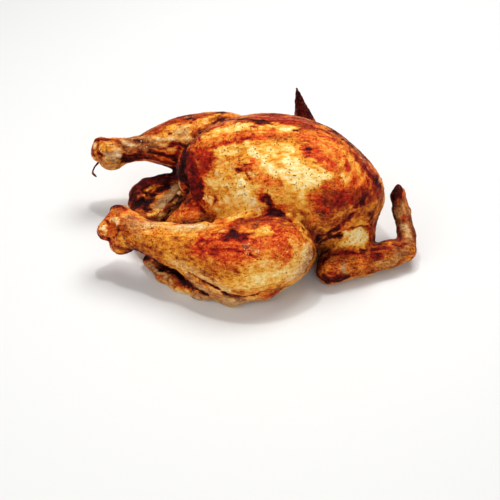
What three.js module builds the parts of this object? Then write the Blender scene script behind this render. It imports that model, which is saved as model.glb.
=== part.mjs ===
// Whole roast chicken lying on its back, breast up, modelled as one piece of meat and skin.
//
// Frame: millimetres, +Z up. X runs along the bird from the drumstick ends (-X) to the neck (+X),
// -Y is the bird's side with the folded wing laid flat, and the seat under the bird is z = 0.
//
// The bird is a set of soft forms (eggs for muscles, tapered limbs for bones) melted into each
// other. One lattice samples the melted form and a closed skin is drawn through it.
import * as THREE from 'three';

// ---------------------------------------------------------------- driving dimensions, mm
const LATTICE_PITCH = 5.4; // spacing of the samples that the skin is drawn on
const LATTICE_LOW = [-143.1, -112.4, -8.1];
const LATTICE_HIGH = [146, 116, 118];
const PLANE_SHIFT = [-1.3, -1.2, 0]; // puts the middle of the outline over the origin
const SEAT_ROUNDING = 2; // radius where the flat seat meets the skin
const SEAT_SNAP = 0.3; // skin this close to the seat lies on it
const RELAX_ROUNDS = 2; // passes that even out the skin's facets
const LEAST_DEPTH = 1e-6; // a filled sample lies at least this deep

const TAIL_MELT = 6;
const SCOOP_MELT = 5;
const RIM_MELT = 3;
const VENT_MELT = 4;
const LEG_MELT = 7;
const UNDER_LEG_MELT = 3;
const WING_MELT = 5;

// An egg is a centre, three radii and a turn (yaw, pitch, roll in degrees).
// melt is the width over which a form flows into the ones before it.
const egg = (melt, centre, radii, turn = [0, 0, 0]) => ({ kind: 'egg', melt, centre, radii, turn });

// A limb is a row of knots [x, y, z, radius] joined by tapered rounds.
const limb = (melt, knit, knots) => ({ kind: 'limb', melt, knit, knots });

const TORSO = [
  egg(0, [22, 0, 34], [78, 56, 36]), // back and ribs
  egg(14, [38, -18, 58], [69, 41, 46], [-4, 0, 0]), // breast, -Y half
  egg(14, [23, 21, 56], [72, 38, 45], [-10, 0, 0]), // breast, +Y half
  egg(12, [6, 3, 58], [64, 39, 46]), // pointed end of the breast
  // keel
  limb(18, 10, [[-44, 5, 68, 11], [-28, 6, 84, 12], [0, 4, 93, 12], [36, 1, 92, 12], [66, -4, 79, 14]]),
  egg(16, [82, -6, 44], [26, 34, 30]), // neck end
  egg(10, [-24, -4, 14], [76, 58, 18], [-4, 0, 0]), // hip and back skin
  egg(8, [-42, -22, 27], [27, 24, 20], [25, 0, 0]), // flank inside the -Y leg
  // rolled edge of the back skin under the leg, and the web behind it
  limb(8, 8, [
    [-84, -42, 4.5, 4.5], [-70, -60, 5, 5.5], [-57, -71, 5.5, 6], [-40, -81, 6.5, 6.5], [-14, -89, 7.5, 7.5],
    [10, -82, 10, 9], [22, -68, 12, 9],
  ]),
  limb(6, 6, [[-78, -34, 4, 6], [-65, -47, 4.5, 6.5], [-50, -62, 5, 7]]),
];

// The tail is a fold of skin that curls round the opened vent.
const TAIL = [
  limb(0, 5, [
    [-58, 36, 31, 6], [-75, 36, 27, 6.5], [-88, 31, 25.5, 7.2], [-94, 24, 23.5, 7.5], [-95, 16, 20, 7],
    [-92, 10, 14, 7], [-83, 6, 11, 7],
  ]),
];
const SCOOP = [egg(0, [-72, 2, 36], [19, 21, 19], [-25, 0, 0])];
const VENT_RIM = [
  limb(0, 3, [[-59, 24, 39, 4], [-59, 13, 34, 3.8], [-66, 2, 28, 3.8], [-75, -4, 22, 4]]),
];
const VENT = [
  egg(0, [-46, 16, 42], [20, 16, 16], [-20, 0, 0]),
  limb(4, 3, [[-53, 14, 42, 5], [-53, 2, 36, 4], [-60, -10, 30, 3.5], [-66, -15, 26, 3]]),
];

const LEG_NEAR = [
  egg(0, [10, -66, 33], [45, 32, 33.5], [13, -6, 0]), // thigh
  egg(14, [-15, -70, 32], [42, 28, 28.5], [-8, 0, 0]), // drumstick meat
  egg(8, [-24, -75, 21], [28, 17.5, 17], [-18, 0, 0]), // loose skin hanging under it
  limb(12, 6, [[-32, -65, 34, 20], [-64, -58, 34.5, 16.5], [-84, -51, 37.5, 13.3]]), // shin
  egg(8, [-99, -43, 38], [15, 15, 17]), // hock
  egg(4, [-105, -31, 45], [9, 8, 8]), // hock knobs
  egg(4, [-112, -36, 41], [6.5, 6.5, 6]),
  egg(4, [-116, -42, 36], [8, 8, 8]),
  egg(4, [-104, -46, 25], [10, 9, 8]),
];

const LEG_FAR = [
  egg(0, [-18, 52, 45], [38, 31, 35], [-8, 0, 0]), // thigh
  egg(14, [-42, 56, 54], [42, 24, 25], [4, 0, 0]), // drumstick meat
  limb(12, 6, [[-56, 55, 55, 16], [-80, 51, 55, 12], [-102, 47, 53, 10.5]]), // shin
  egg(7, [-116, 45, 52], [13, 12.5, 13]), // hock
  egg(4, [-126, 47, 58], [7, 7.5, 7.5]), // hock knobs
  egg(4, [-129, 47, 50], [6, 7, 8]),
  egg(4, [-117, 39, 47], [10, 8, 7.5]),
];

// Shadowed hollow between the -Y leg and the back skin under it.
const UNDER_LEG = [
  limb(0, 5, [
    [-94, -38, 14.5, 5], [-79, -46, 15, 7], [-66, -56, 15, 7], [-54, -66, 15, 6], [-42, -76, 14, 4.5],
    [-31, -86, 12.5, 3],
  ]),
];

// Each wing is an upper arm, a forearm lying on the seat and a pointed hand.
const WING_NEAR = [
  limb(0, 6, [[89, -32, 27, 14], [81, -42, 23, 13], [68, -54, 17, 12]]),
  limb(6, 5, [[65, -63, 12, 12], [92, -51, 12, 12], [114, -43, 12.5, 11], [125, -38, 13, 10]]),
  limb(4, 4, [
    [128, -39, 13, 8.5], [129, -26, 18, 7.4], [125.5, -7, 30, 7.3], [123, 1, 39, 6.2], [123.5, 4, 45, 3.7],
  ]),
];
const WING_FAR = [
  limb(0, 6, [[80, 36, 32, 16], [30, 66, 20, 13]]),
  limb(6, 5, [[26, 72, 14, 12], [46, 84, 15, 12], [64, 92, 18, 10.5]]),
  limb(4, 2, [
    [63, 92, 20, 10], [52, 95, 42, 8.6], [46, 96, 56, 7.2], [42.8, 97, 70, 3.9], [40, 98, 82, 1.3],
  ]),
];

// ---------------------------------------------------------------- soft forms
const DEGREE = Math.PI / 180;

/** Smaller of two distances, rounded over a width. */
function melt(a, b, width) {
  if (width <= 0) return Math.min(a, b);
  const overlap = Math.max(width - Math.abs(a - b), 0) / width;
  return Math.min(a, b) - overlap * overlap * width * 0.25;
}

/** Takes form b away from form a, with the edge rounded over a width. */
function carve(a, b, width) {
  return -melt(-a, b, width);
}

function eggDistance(form) {
  const [yaw, pitch, roll] = form.turn.map((angle) => angle * DEGREE);
  const turn = new THREE.Matrix4().makeRotationFromEuler(new THREE.Euler(roll, pitch, yaw, 'ZYX'));
  const back = turn.clone().transpose();
  const [rx, ry, rz] = form.radii;
  const least = Math.min(rx, ry, rz);
  const local = new THREE.Vector3();
  return (x, y, z) => {
    local.set(x - form.centre[0], y - form.centre[1], z - form.centre[2]).applyMatrix4(back);
    const near = Math.hypot(local.x / rx, local.y / ry, local.z / rz);
    const slope = Math.hypot(local.x / (rx * rx), local.y / (ry * ry), local.z / (rz * rz));
    return slope > 1e-9 ? (near * (near - 1)) / slope : -least;
  };
}

/** Distance to the hull of two balls of different size. */
function taperDistance([ax, ay, az, ra], [bx, by, bz, rb]) {
  const dx = bx - ax;
  const dy = by - ay;
  const dz = bz - az;
  const lengthSq = dx * dx + dy * dy + dz * dz;
  const fall = ra - rb;
  const flankSq = lengthSq - fall * fall;
  const inverse = 1 / lengthSq;
  return (x, y, z) => {
    const px = x - ax;
    const py = y - ay;
    const pz = z - az;
    const along = px * dx + py * dy + pz * dz;
    const past = along - lengthSq;
    const qx = px * lengthSq - dx * along;
    const qy = py * lengthSq - dy * along;
    const qz = pz * lengthSq - dz * along;
    const sideSq = qx * qx + qy * qy + qz * qz;
    const alongSq = along * along * lengthSq;
    const pastSq = past * past * lengthSq;
    const edge = Math.sign(fall) * fall * fall * sideSq;
    if (Math.sign(past) * flankSq * pastSq > edge) return Math.sqrt(sideSq + pastSq) * inverse - rb;
    if (Math.sign(along) * flankSq * alongSq < edge) return Math.sqrt(sideSq + alongSq) * inverse - ra;
    return (Math.sqrt(sideSq * flankSq * inverse) + along * fall) * inverse - ra;
  };
}

function limbDistance(form) {
  const tapers = [];
  for (let i = 1; i < form.knots.length; i += 1) {
    tapers.push(taperDistance(form.knots[i - 1], form.knots[i]));
  }
  return (x, y, z) => tapers.reduce((sum, taper) => melt(sum, taper(x, y, z), form.knit), Infinity);
}

/** One distance function for a list of forms melted in order. */
function groupDistance(forms) {
  const parts = forms.map((form) => ({
    width: form.melt,
    distance: form.kind === 'egg' ? eggDistance(form) : limbDistance(form),
  }));
  return (x, y, z) => {
    let sum = Infinity;
    for (const part of parts) {
      const next = part.distance(x, y, z);
      sum = sum === Infinity ? next : melt(sum, next, part.width);
    }
    return sum;
  };
}

const torso = groupDistance(TORSO);
const tail = groupDistance(TAIL);
const scoop = groupDistance(SCOOP);
const ventRim = groupDistance(VENT_RIM);
const vent = groupDistance(VENT);
const legNear = groupDistance(LEG_NEAR);
const legFar = groupDistance(LEG_FAR);
const underLeg = groupDistance(UNDER_LEG);
const wingNear = groupDistance(WING_NEAR);
const wingFar = groupDistance(WING_FAR);

/** Distance to the skin of the whole bird, negative inside. */
function bird(x, y, z) {
  let d = torso(x, y, z);
  d = melt(d, tail(x, y, z), TAIL_MELT);
  d = carve(d, scoop(x, y, z), SCOOP_MELT);
  d = melt(d, ventRim(x, y, z), RIM_MELT);
  d = carve(d, vent(x, y, z), VENT_MELT);
  d = melt(d, legNear(x, y, z), LEG_MELT);
  d = melt(d, legFar(x, y, z), LEG_MELT);
  d = carve(d, underLeg(x, y, z), UNDER_LEG_MELT);
  d = melt(d, wingNear(x, y, z), WING_MELT);
  d = melt(d, wingFar(x, y, z), WING_MELT);
  return carve(d, z, SEAT_ROUNDING);
}

// ---------------------------------------------------------------- the skin
/**
 * Where the corners of a lattice square, or two far corners of a cell, alternate between inside and
 * outside, the skin could run two ways. The outer corner nearest the skin is filled, so one way is left.
 */
function makeUnambiguous(value, count, index) {
  const [nx, ny, nz] = count;
  const fill = (places) => {
    const outside = places.filter((place) => value[place] >= 0);
    const nearest = outside.reduce((a, b) => (value[a] <= value[b] ? a : b));
    value[nearest] = -Math.max(value[nearest], LEAST_DEPTH);
  };
  let changed = true;
  while (changed) {
    changed = false;
    for (let k = 1; k < nz - 1; k += 1) {
      for (let j = 1; j < ny - 1; j += 1) {
        for (let i = 1; i < nx - 1; i += 1) {
          const at = (c) => index(i + (c & 1), j + ((c >> 1) & 1), k + ((c >> 2) & 1));
          const inside = (c) => value[at(c)] < 0;
          for (const [a, b, c, d] of [[0, 1, 3, 2], [0, 1, 5, 4], [0, 2, 6, 4]]) {
            if (inside(a) === inside(c) && inside(b) === inside(d) && inside(a) !== inside(b)) {
              fill([at(a), at(b), at(c), at(d)]);
              changed = true;
            }
          }
          for (let a = 0; a < 4; a += 1) {
            const others = [0, 1, 2, 3, 4, 5, 6, 7].filter((c) => c !== a && c !== 7 - a);
            const alone = inside(a) === inside(7 - a) && others.every((c) => inside(c) !== inside(a));
            if (alone) {
              fill(inside(a) ? others.map(at) : [at(a), at(7 - a)]);
              changed = true;
            }
          }
        }
      }
    }
  }
}

/** Samples the form on a lattice and returns one vertex per crossed cell, with the faces. */
function drawSkin(form) {
  const count = LATTICE_LOW.map((low, axis) => Math.ceil((LATTICE_HIGH[axis] - low) / LATTICE_PITCH) + 1);
  const [nx, ny, nz] = count;
  const index = (i, j, k) => (k * ny + j) * nx + i;
  const place = (i, axis) => LATTICE_LOW[axis] + i * LATTICE_PITCH;
  const value = new Float64Array(nx * ny * nz);
  for (let k = 0; k < nz; k += 1) {
    for (let j = 0; j < ny; j += 1) {
      for (let i = 0; i < nx; i += 1) {
        value[index(i, j, k)] = form(place(i, 0), place(j, 1), place(k, 2));
      }
    }
  }
  makeUnambiguous(value, count, index);
  const corners = [];
  for (let c = 0; c < 8; c += 1) corners.push([c & 1, (c >> 1) & 1, (c >> 2) & 1]);
  const edges = [];
  for (let a = 0; a < 8; a += 1) {
    for (const bit of [1, 2, 4]) if (!(a & bit)) edges.push([a, a | bit]);
  }
  const vertices = [];
  const cellVertex = new Int32Array(nx * ny * nz).fill(-1);
  for (let k = 0; k < nz - 1; k += 1) {
    for (let j = 0; j < ny - 1; j += 1) {
      for (let i = 0; i < nx - 1; i += 1) {
        const values = corners.map(([a, b, c]) => value[index(i + a, j + b, k + c)]);
        const sum = new THREE.Vector3();
        let crossings = 0;
        for (const [a, b] of edges) {
          if (values[a] < 0 === values[b] < 0) continue;
          const t = values[a] / (values[a] - values[b]);
          const from = new THREE.Vector3(...corners[a]);
          sum.add(from.lerp(new THREE.Vector3(...corners[b]), t));
          crossings += 1;
        }
        if (crossings === 0) continue;
        sum.multiplyScalar(LATTICE_PITCH / crossings);
        cellVertex[index(i, j, k)] = vertices.length;
        vertices.push(sum.add(new THREE.Vector3(place(i, 0), place(j, 1), place(k, 2))));
      }
    }
  }
  const quads = [];
  const addQuad = (a, b, c, d, inside) => quads.push(inside ? [a, b, c, d] : [a, d, c, b]);
  for (let k = 1; k < nz - 1; k += 1) {
    for (let j = 1; j < ny - 1; j += 1) {
      for (let i = 1; i < nx - 1; i += 1) {
        const inside = value[index(i, j, k)] < 0;
        const cell = (a, b, c) => cellVertex[index(i - a, j - b, k - c)];
        if (inside !== value[index(i + 1, j, k)] < 0) {
          addQuad(cell(0, 1, 1), cell(0, 0, 1), cell(0, 0, 0), cell(0, 1, 0), inside);
        }
        if (inside !== value[index(i, j + 1, k)] < 0) {
          addQuad(cell(1, 0, 1), cell(1, 0, 0), cell(0, 0, 0), cell(0, 0, 1), inside);
        }
        if (inside !== value[index(i, j, k + 1)] < 0) {
          addQuad(cell(1, 1, 0), cell(0, 1, 0), cell(0, 0, 0), cell(1, 0, 0), inside);
        }
      }
    }
  }
  return { vertices, quads };
}

/** Moves a vertex along the slope of the form until it lies on the skin. */
function settle(form, vertex) {
  const reach = LATTICE_PITCH * 0.3;
  const h = 0.05;
  for (let round = 0; round < 3; round += 1) {
    const { x, y, z } = vertex;
    const d = form(x, y, z);
    const slope = new THREE.Vector3(
      form(x + h, y, z) - form(x - h, y, z),
      form(x, y + h, z) - form(x, y - h, z),
      form(x, y, z + h) - form(x, y, z - h),
    ).divideScalar(2 * h);
    const steep = Math.max(slope.lengthSq(), 0.1);
    vertex.addScaledVector(slope, -THREE.MathUtils.clamp(d / steep, -reach, reach));
  }
  if (vertex.z < SEAT_SNAP) vertex.z = 0;
}

/** Slides the vertices towards the middle of their neighbours and back onto the skin. */
function relax(form, vertices, quads) {
  const sums = vertices.map(() => new THREE.Vector3());
  const counts = new Uint16Array(vertices.length);
  for (const quad of quads) {
    for (let n = 0; n < 4; n += 1) {
      const next = quad[(n + 1) % 4];
      sums[quad[n]].add(vertices[next]);
      counts[quad[n]] += 1;
      sums[next].add(vertices[quad[n]]);
      counts[next] += 1;
    }
  }
  vertices.forEach((vertex, n) => {
    vertex.lerp(sums[n].divideScalar(counts[n]), 0.5);
    settle(form, vertex);
  });
}

function skinGeometry(form) {
  const { vertices, quads } = drawSkin(form);
  vertices.forEach((vertex) => settle(form, vertex));
  for (let round = 0; round < RELAX_ROUNDS; round += 1) relax(form, vertices, quads);
  const faces = [];
  for (const [a, b, c, d] of quads) {
    const short = vertices[a].distanceToSquared(vertices[c]) <= vertices[b].distanceToSquared(vertices[d]);
    faces.push(...(short ? [a, b, c, a, c, d] : [a, b, d, b, c, d]));
  }
  const geometry = new THREE.BufferGeometry();
  const places = vertices.flatMap((vertex) => vertex.toArray());
  geometry.setAttribute('position', new THREE.Float32BufferAttribute(places, 3));
  geometry.setIndex(faces);
  geometry.translate(...PLANE_SHIFT);
  geometry.computeVertexNormals();
  return geometry;
}

// ---------------------------------------------------------------- the part
const crust = new THREE.MeshStandardMaterial({ color: 0xb9682a, roughness: 0.45, metalness: 0 });
const chicken = new THREE.Mesh(skinGeometry(bird), crust);
chicken.name = 'chicken';

const part = new THREE.Group();
part.name = 'roast_chicken';
part.add(chicken);
export default part;
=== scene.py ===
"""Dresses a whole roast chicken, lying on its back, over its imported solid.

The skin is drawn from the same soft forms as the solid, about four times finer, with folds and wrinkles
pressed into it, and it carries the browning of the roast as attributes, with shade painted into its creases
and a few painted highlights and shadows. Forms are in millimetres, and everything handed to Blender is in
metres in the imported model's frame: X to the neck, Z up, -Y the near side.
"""
from __future__ import annotations

import logging
import math
from dataclasses import dataclass, field
from enum import Enum
from functools import partial
from typing import Callable, Sequence

import bpy
import numpy as np
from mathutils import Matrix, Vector

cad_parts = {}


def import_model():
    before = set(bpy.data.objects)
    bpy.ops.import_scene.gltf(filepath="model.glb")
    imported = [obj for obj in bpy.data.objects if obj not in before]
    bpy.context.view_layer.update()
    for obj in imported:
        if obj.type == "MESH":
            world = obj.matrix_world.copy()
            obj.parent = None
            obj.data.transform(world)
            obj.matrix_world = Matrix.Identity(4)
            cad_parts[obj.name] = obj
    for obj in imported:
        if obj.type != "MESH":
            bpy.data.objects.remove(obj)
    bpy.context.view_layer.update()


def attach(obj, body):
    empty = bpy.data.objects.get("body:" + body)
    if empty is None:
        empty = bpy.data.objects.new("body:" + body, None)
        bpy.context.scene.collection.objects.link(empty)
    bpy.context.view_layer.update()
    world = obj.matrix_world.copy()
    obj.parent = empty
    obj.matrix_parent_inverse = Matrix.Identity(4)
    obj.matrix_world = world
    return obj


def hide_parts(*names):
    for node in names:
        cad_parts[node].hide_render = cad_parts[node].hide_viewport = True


LOG = logging.getLogger("roast_chicken")
Array = np.ndarray
MM = 0.001
FAR = 1e6
TINY = 1e-9
CM2_PER_M2 = 1e4
RIGHT = np.array([1.0, 0.0, 0.0])
Knot = tuple[float, float, float, float]
Triple = tuple[float, float, float]
Stops = tuple[tuple[float, str], ...]
Distance = Callable[[Array], Array]
Material = bpy.types.Material
Piece = bpy.types.Object
Socket = bpy.types.NodeSocket


# ---- soft forms
def melt(first: Array, second: Array, width: float) -> Array:
    """Join two distances with a fillet of this width.

    Args:
        first: distances to one form.
        second: distances to the other form.
        width: how far apart the two may be and still flow together, mm.

    Returns:
        The smaller distance, rounded where the forms meet.
    """
    if width <= 0:
        return np.minimum(first, second)
    overlap = np.maximum(width - np.abs(first - second), 0) / width
    return np.minimum(first, second) - overlap * overlap * width * 0.25


def carve(first: Array, second: Array, width: float) -> Array:
    """Take the second form away from the first, with the edge rounded over a width."""
    return -melt(-first, second, width)


def turn_about(axis: int, degrees: float) -> Array:
    """Return the matrix of a turn about X (0), Y (1) or Z (2)."""
    angle = math.radians(degrees)
    u, v = (axis + 1) % 3, (axis + 2) % 3
    made = np.eye(3)
    made[u, u] = made[v, v] = math.cos(angle)
    made[u, v], made[v, u] = -math.sin(angle), math.sin(angle)
    return made


@dataclass(frozen=True)
class Egg:
    """An ellipsoid of meat: centre, radii and turn (yaw, pitch, roll in degrees)."""

    melt: float
    centre: Triple
    radii: Triple
    turn: Triple = (0.0, 0.0, 0.0)

    def box(self) -> tuple[Triple, Triple]:
        """Return the lowest and highest corner of a box around the egg."""
        reach = max(self.radii)
        low = tuple(value - reach for value in self.centre)
        return low, tuple(value + reach for value in self.centre)

    def distance(self, points: Array) -> Array:
        """Return the distance of each point to the egg, negative inside."""
        yaw, pitch, roll = self.turn
        local = (points - np.array(self.centre)) @ (turn_about(2, yaw) @ turn_about(1, pitch) @ turn_about(0, roll))
        radii = np.array(self.radii)
        near = np.linalg.norm(local / radii, axis=1)
        slope = np.linalg.norm(local / (radii * radii), axis=1)
        return np.where(slope > TINY, near * (near - 1) / np.maximum(slope, TINY), -min(self.radii))


@dataclass(frozen=True)
class Limb:
    """A row of knots (x, y, z, radius) joined by tapered rounds."""

    melt: float
    knit: float
    knots: tuple[Knot, ...]

    def box(self) -> tuple[Triple, Triple]:
        """Return the lowest and highest corner of a box around the limb."""
        knots = np.array(self.knots)
        low = (knots[:, :3] - knots[:, 3:]).min(axis=0)
        return tuple(low), tuple((knots[:, :3] + knots[:, 3:]).max(axis=0))

    def distance(self, points: Array) -> Array:
        """Return the distance of each point to the limb, negative inside."""
        total = np.full(len(points), FAR)
        for start, end in zip(self.knots[:-1], self.knots[1:]):
            total = melt(total, self._taper(points, start, end), self.knit)
        return total

    @staticmethod
    def _taper(points: Array, start: Knot, end: Knot) -> Array:
        """Return the distance to the hull of two balls of different size."""
        axis = np.array(end[:3]) - np.array(start[:3])
        length_sq = float(axis @ axis)
        fall = start[3] - end[3]
        flank_sq = length_sq - fall * fall
        offset = points - np.array(start[:3])
        along = offset @ axis
        past = along - length_sq
        across = offset * length_sq - along[:, None] * axis
        side_sq = (across * across).sum(axis=1)
        along_sq = along * along * length_sq
        past_sq = past * past * length_sq
        edge = np.sign(fall) * fall * fall * side_sq
        beyond = np.sign(past) * flank_sq * past_sq > edge
        before = ~beyond & (np.sign(along) * flank_sq * along_sq < edge)
        flank = (np.sqrt(np.maximum(side_sq * flank_sq / length_sq, 0)) + along * fall) / length_sq - start[3]
        flank = np.where(beyond, np.sqrt(side_sq + past_sq) / length_sq - end[3], flank)
        return np.where(before, np.sqrt(side_sq + along_sq) / length_sq - start[3], flank)


Form = Egg | Limb


@dataclass(frozen=True)
class Group:
    """Forms that melt together in order, and how the group joins the rest of the bird."""

    join: float
    forms: tuple[Form, ...]
    hollow: bool = False
    box_slack: float = 5.0

    def distance(self, points: Array) -> Array:
        """Return the distance of each point to the group, negative inside."""
        total = self.forms[0].distance(points)
        for form in self.forms[1:]:
            total = melt(total, form.distance(points), form.melt)
        return total

    def clearance(self, points: Array) -> Array:
        """Return a distance that the group is never nearer than, from the box around it."""
        boxes = np.array([form.box() for form in self.forms])
        low, high = boxes[:, 0].min(axis=0), boxes[:, 1].max(axis=0)
        outside = np.maximum(np.maximum(low - points, points - high), 0)
        return np.linalg.norm(outside, axis=1) - self.box_slack

    def join_to(self, total: Array, points: Array) -> Array:
        """Melt the group to the bird, or carve it out, wherever it is near enough to matter."""
        depth = -total if self.hollow else total
        near = np.flatnonzero(self.clearance(points) < depth + self.join)
        joined = depth.copy()
        joined[near] = melt(depth[near], self.distance(points[near]), self.join)
        return -joined if self.hollow else joined


@dataclass(frozen=True)
class BirdForm:
    """The whole bird as melted forms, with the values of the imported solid."""

    shift: Triple = (-1.3, -1.2, 0.0)
    seat_rounding: float = 2.0
    torso: Group = Group(0, (
        Egg(0, (22, 0, 34), (78, 56, 36)),
        Egg(14, (38, -18, 58), (69, 41, 46), (-4, 0, 0)),
        Egg(14, (23, 21, 56), (72, 38, 45), (-10, 0, 0)),
        Egg(12, (6, 3, 58), (64, 39, 46)),
        Limb(18, 10, ((-44, 5, 68, 11), (-28, 6, 84, 12), (0, 4, 93, 12), (36, 1, 92, 12), (66, -4, 79, 14))),
        Egg(16, (82, -6, 44), (26, 34, 30)),
        Egg(10, (-24, -4, 14), (76, 58, 18), (-4, 0, 0)),
        Egg(8, (-42, -22, 27), (27, 24, 20), (25, 0, 0)),
        Limb(8, 8, ((-84, -42, 4.5, 4.5), (-70, -60, 5, 5.5), (-57, -71, 5.5, 6), (-40, -81, 6.5, 6.5),
                    (-14, -89, 7.5, 7.5), (10, -82, 10, 9), (22, -68, 12, 9))),
        # a low web of back skin on the table under the near leg, which carries the shadow painted there
        Limb(6, 6, ((-78, -34, 4, 6), (-65, -47, 4.5, 6.5), (-50, -62, 5, 7))),
    ))
    tail: Group = Group(6, (
        Limb(0, 5, ((-58, 36, 31, 6), (-75, 36, 27, 6.5), (-88, 31, 25.5, 7.2), (-94, 24, 23.5, 7.5),
                    (-95, 16, 20, 7), (-92, 10, 14, 7), (-83, 6, 11, 7))),
    ))
    scoop: Group = Group(5, (Egg(0, (-72, 2, 36), (19, 21, 19), (-25, 0, 0)),), hollow=True)
    vent_rim: Group = Group(3, (
        Limb(0, 3, ((-58, 24, 40, 3.4), (-58, 13, 35, 3.2), (-65, 2, 29, 3.2), (-74, -5, 23, 3.6))),
    ))
    vent: Group = Group(4, (
        Egg(0, (-46, 16, 42), (20, 16, 16), (-20, 0, 0)),
        Limb(4, 3, ((-53, 14, 42, 5), (-53, 2, 36, 4), (-60, -10, 30, 3.5), (-66, -15, 26, 3))),
    ), hollow=True)
    leg_near: Group = Group(7, (
        Egg(0, (10, -66, 33), (45, 32, 33.5), (13, -6, 0)),
        Egg(14, (-15, -70, 32), (42, 28, 28.5), (-8, 0, 0)),
        Egg(8, (-24, -75, 21), (28, 17.5, 17), (-18, 0, 0)),
        Limb(12, 6, ((-32, -65, 34, 20), (-64, -58, 34.5, 16.5), (-84, -51, 37.5, 13.3))),
        Egg(8, (-99, -43, 38), (15, 15, 17)),
        Egg(4, (-105, -31, 45), (9, 8, 8)),
        Egg(4, (-112, -36, 41), (6.5, 6.5, 6)),
        Egg(4, (-116, -42, 36), (8, 8, 8)),
        Egg(4, (-104, -46, 25), (10, 9, 8)),
    ))
    leg_far: Group = Group(7, (
        Egg(0, (-18, 52, 45), (38, 31, 35), (-8, 0, 0)),
        Egg(14, (-42, 56, 54), (42, 24, 25), (4, 0, 0)),
        Limb(12, 6, ((-56, 55, 55, 16), (-80, 51, 55, 12), (-102, 47, 53, 10.5))),
        Egg(7, (-116, 45, 52), (13, 12.5, 13)),
        Egg(4, (-126, 47, 58), (7, 7.5, 7.5)),
        Egg(4, (-129, 47, 50), (6, 7, 8)),
        Egg(4, (-117, 39, 47), (10, 8, 7.5)),
    ))
    under_leg: Group = Group(3, (
        Limb(0, 5, ((-94, -38, 14.5, 5), (-79, -46, 15, 7), (-66, -56, 15, 7), (-54, -66, 15, 6),
                    (-42, -76, 14, 4.5), (-31, -86, 12.5, 3))),
    ), hollow=True)
    wing_near: Group = Group(5, (
        Limb(0, 6, ((89, -32, 27, 14), (81, -42, 23, 13), (68, -54, 17, 12))),
        Limb(6, 5, ((65, -63, 12, 12), (92, -51, 12, 12), (114, -43, 12.5, 11), (125, -38, 13, 10))),
        Limb(4, 4, ((128, -39, 13, 8.5), (129, -26, 18, 7.4), (125.5, -7, 30, 7.3), (123, 1, 39, 6.2),
                    (123.5, 4, 45, 3.7))),
    ))
    wing_far: Group = Group(5, (
        Limb(0, 6, ((80, 36, 32, 16), (30, 66, 20, 13))),
        Limb(6, 5, ((26, 72, 14, 12), (46, 84, 15, 12), (64, 92, 18, 10.5))),
        Limb(4, 2, ((63, 92, 20, 10), (52, 95, 42, 8.6), (46, 96, 56, 7.2), (42.8, 97, 70, 3.9),
                    (40, 98, 82, 1.3))),
    ))

    def distance(self, points: Array) -> Array:
        """Return the distance of part-frame points (mm) to the skin, negative inside."""
        local = points - np.array(self.shift)
        total = self.torso.distance(local)
        for group in (self.tail, self.scoop, self.vent_rim, self.vent, self.leg_near, self.leg_far,
                      self.under_leg, self.wing_near, self.wing_far):
            total = group.join_to(total, local)
        return carve(total, local[:, 2], self.seat_rounding)

    def normals(self, points: Array, reach: float = 0.6) -> Array:
        """Return the outward unit normal at each point, measured over a small reach in mm."""
        steps = np.eye(3) * reach
        rises = [self.distance(points + step) - self.distance(points - step) for step in steps]
        slope = np.stack(rises, axis=1)
        return slope / np.maximum(np.linalg.norm(slope, axis=1, keepdims=True), TINY)


# ---- the camera's view
@dataclass(frozen=True)
class PictureFrame:
    """The square picture that the camera takes, and where its pixels land on the bird.

    A ray is followed from lead before the aim to past beyond it, in mm, by caution times the gap that is
    left, until the gap is under met.
    """

    size: float = 500.0
    lens: float = 108.0
    sensor: float = 36.0
    elevation: float = 39.0
    reach: float = 1250.0
    aim: Triple = (-1.3, -23.2, 0.0)
    lead: float = 250.0
    past: float = 300.0
    most_steps: int = 90
    caution: float = 0.8
    met: float = 0.1

    @property
    def back(self) -> Array:
        """Unit vector from the aim to the camera."""
        angle = math.radians(self.elevation)
        return np.array([0.0, -math.cos(angle), math.sin(angle)])

    @property
    def eye(self) -> Array:
        """Place of the camera, mm."""
        return np.array(self.aim) + self.back * self.reach

    def rays(self, pixels: Array) -> Array:
        """Return the unit direction through each pixel of the picture."""
        focal = self.size * self.lens / self.sensor
        up = np.cross(RIGHT, -self.back)
        across = (pixels[:, :1] - self.size / 2) / focal
        rise = (self.size / 2 - pixels[:, 1:2]) / focal
        rays = -self.back + across * RIGHT + rise * up
        return rays / np.linalg.norm(rays, axis=1, keepdims=True)

    def land(self, form: BirdForm, pixels: Array) -> Array:
        """Follow the rays through pixels until they meet the bird.

        Args:
            form: the bird.
            pixels: one row (x, y) for each ray.

        Returns:
            The points met, mm. A ray that passes the bird stops where it comes nearest.
        """
        rays = self.rays(pixels)
        farthest = self.reach + self.past
        travelled = np.full(len(pixels), self.reach - self.lead)
        nearest = np.full(len(pixels), FAR)
        best = travelled.copy()
        for _ in range(self.most_steps):
            gap = form.distance(self.eye + travelled[:, None] * rays)
            closer = (gap < nearest - 1e-3) & (travelled < farthest)
            best = np.where(closer, travelled, best)
            nearest = np.where(closer, gap, nearest)
            travelled = travelled + np.clip(gap * self.caution, 0.02, 30)
            if np.all((nearest < self.met) | (travelled > farthest)):
                break
        return self.eye + best[:, None] * rays


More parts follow.
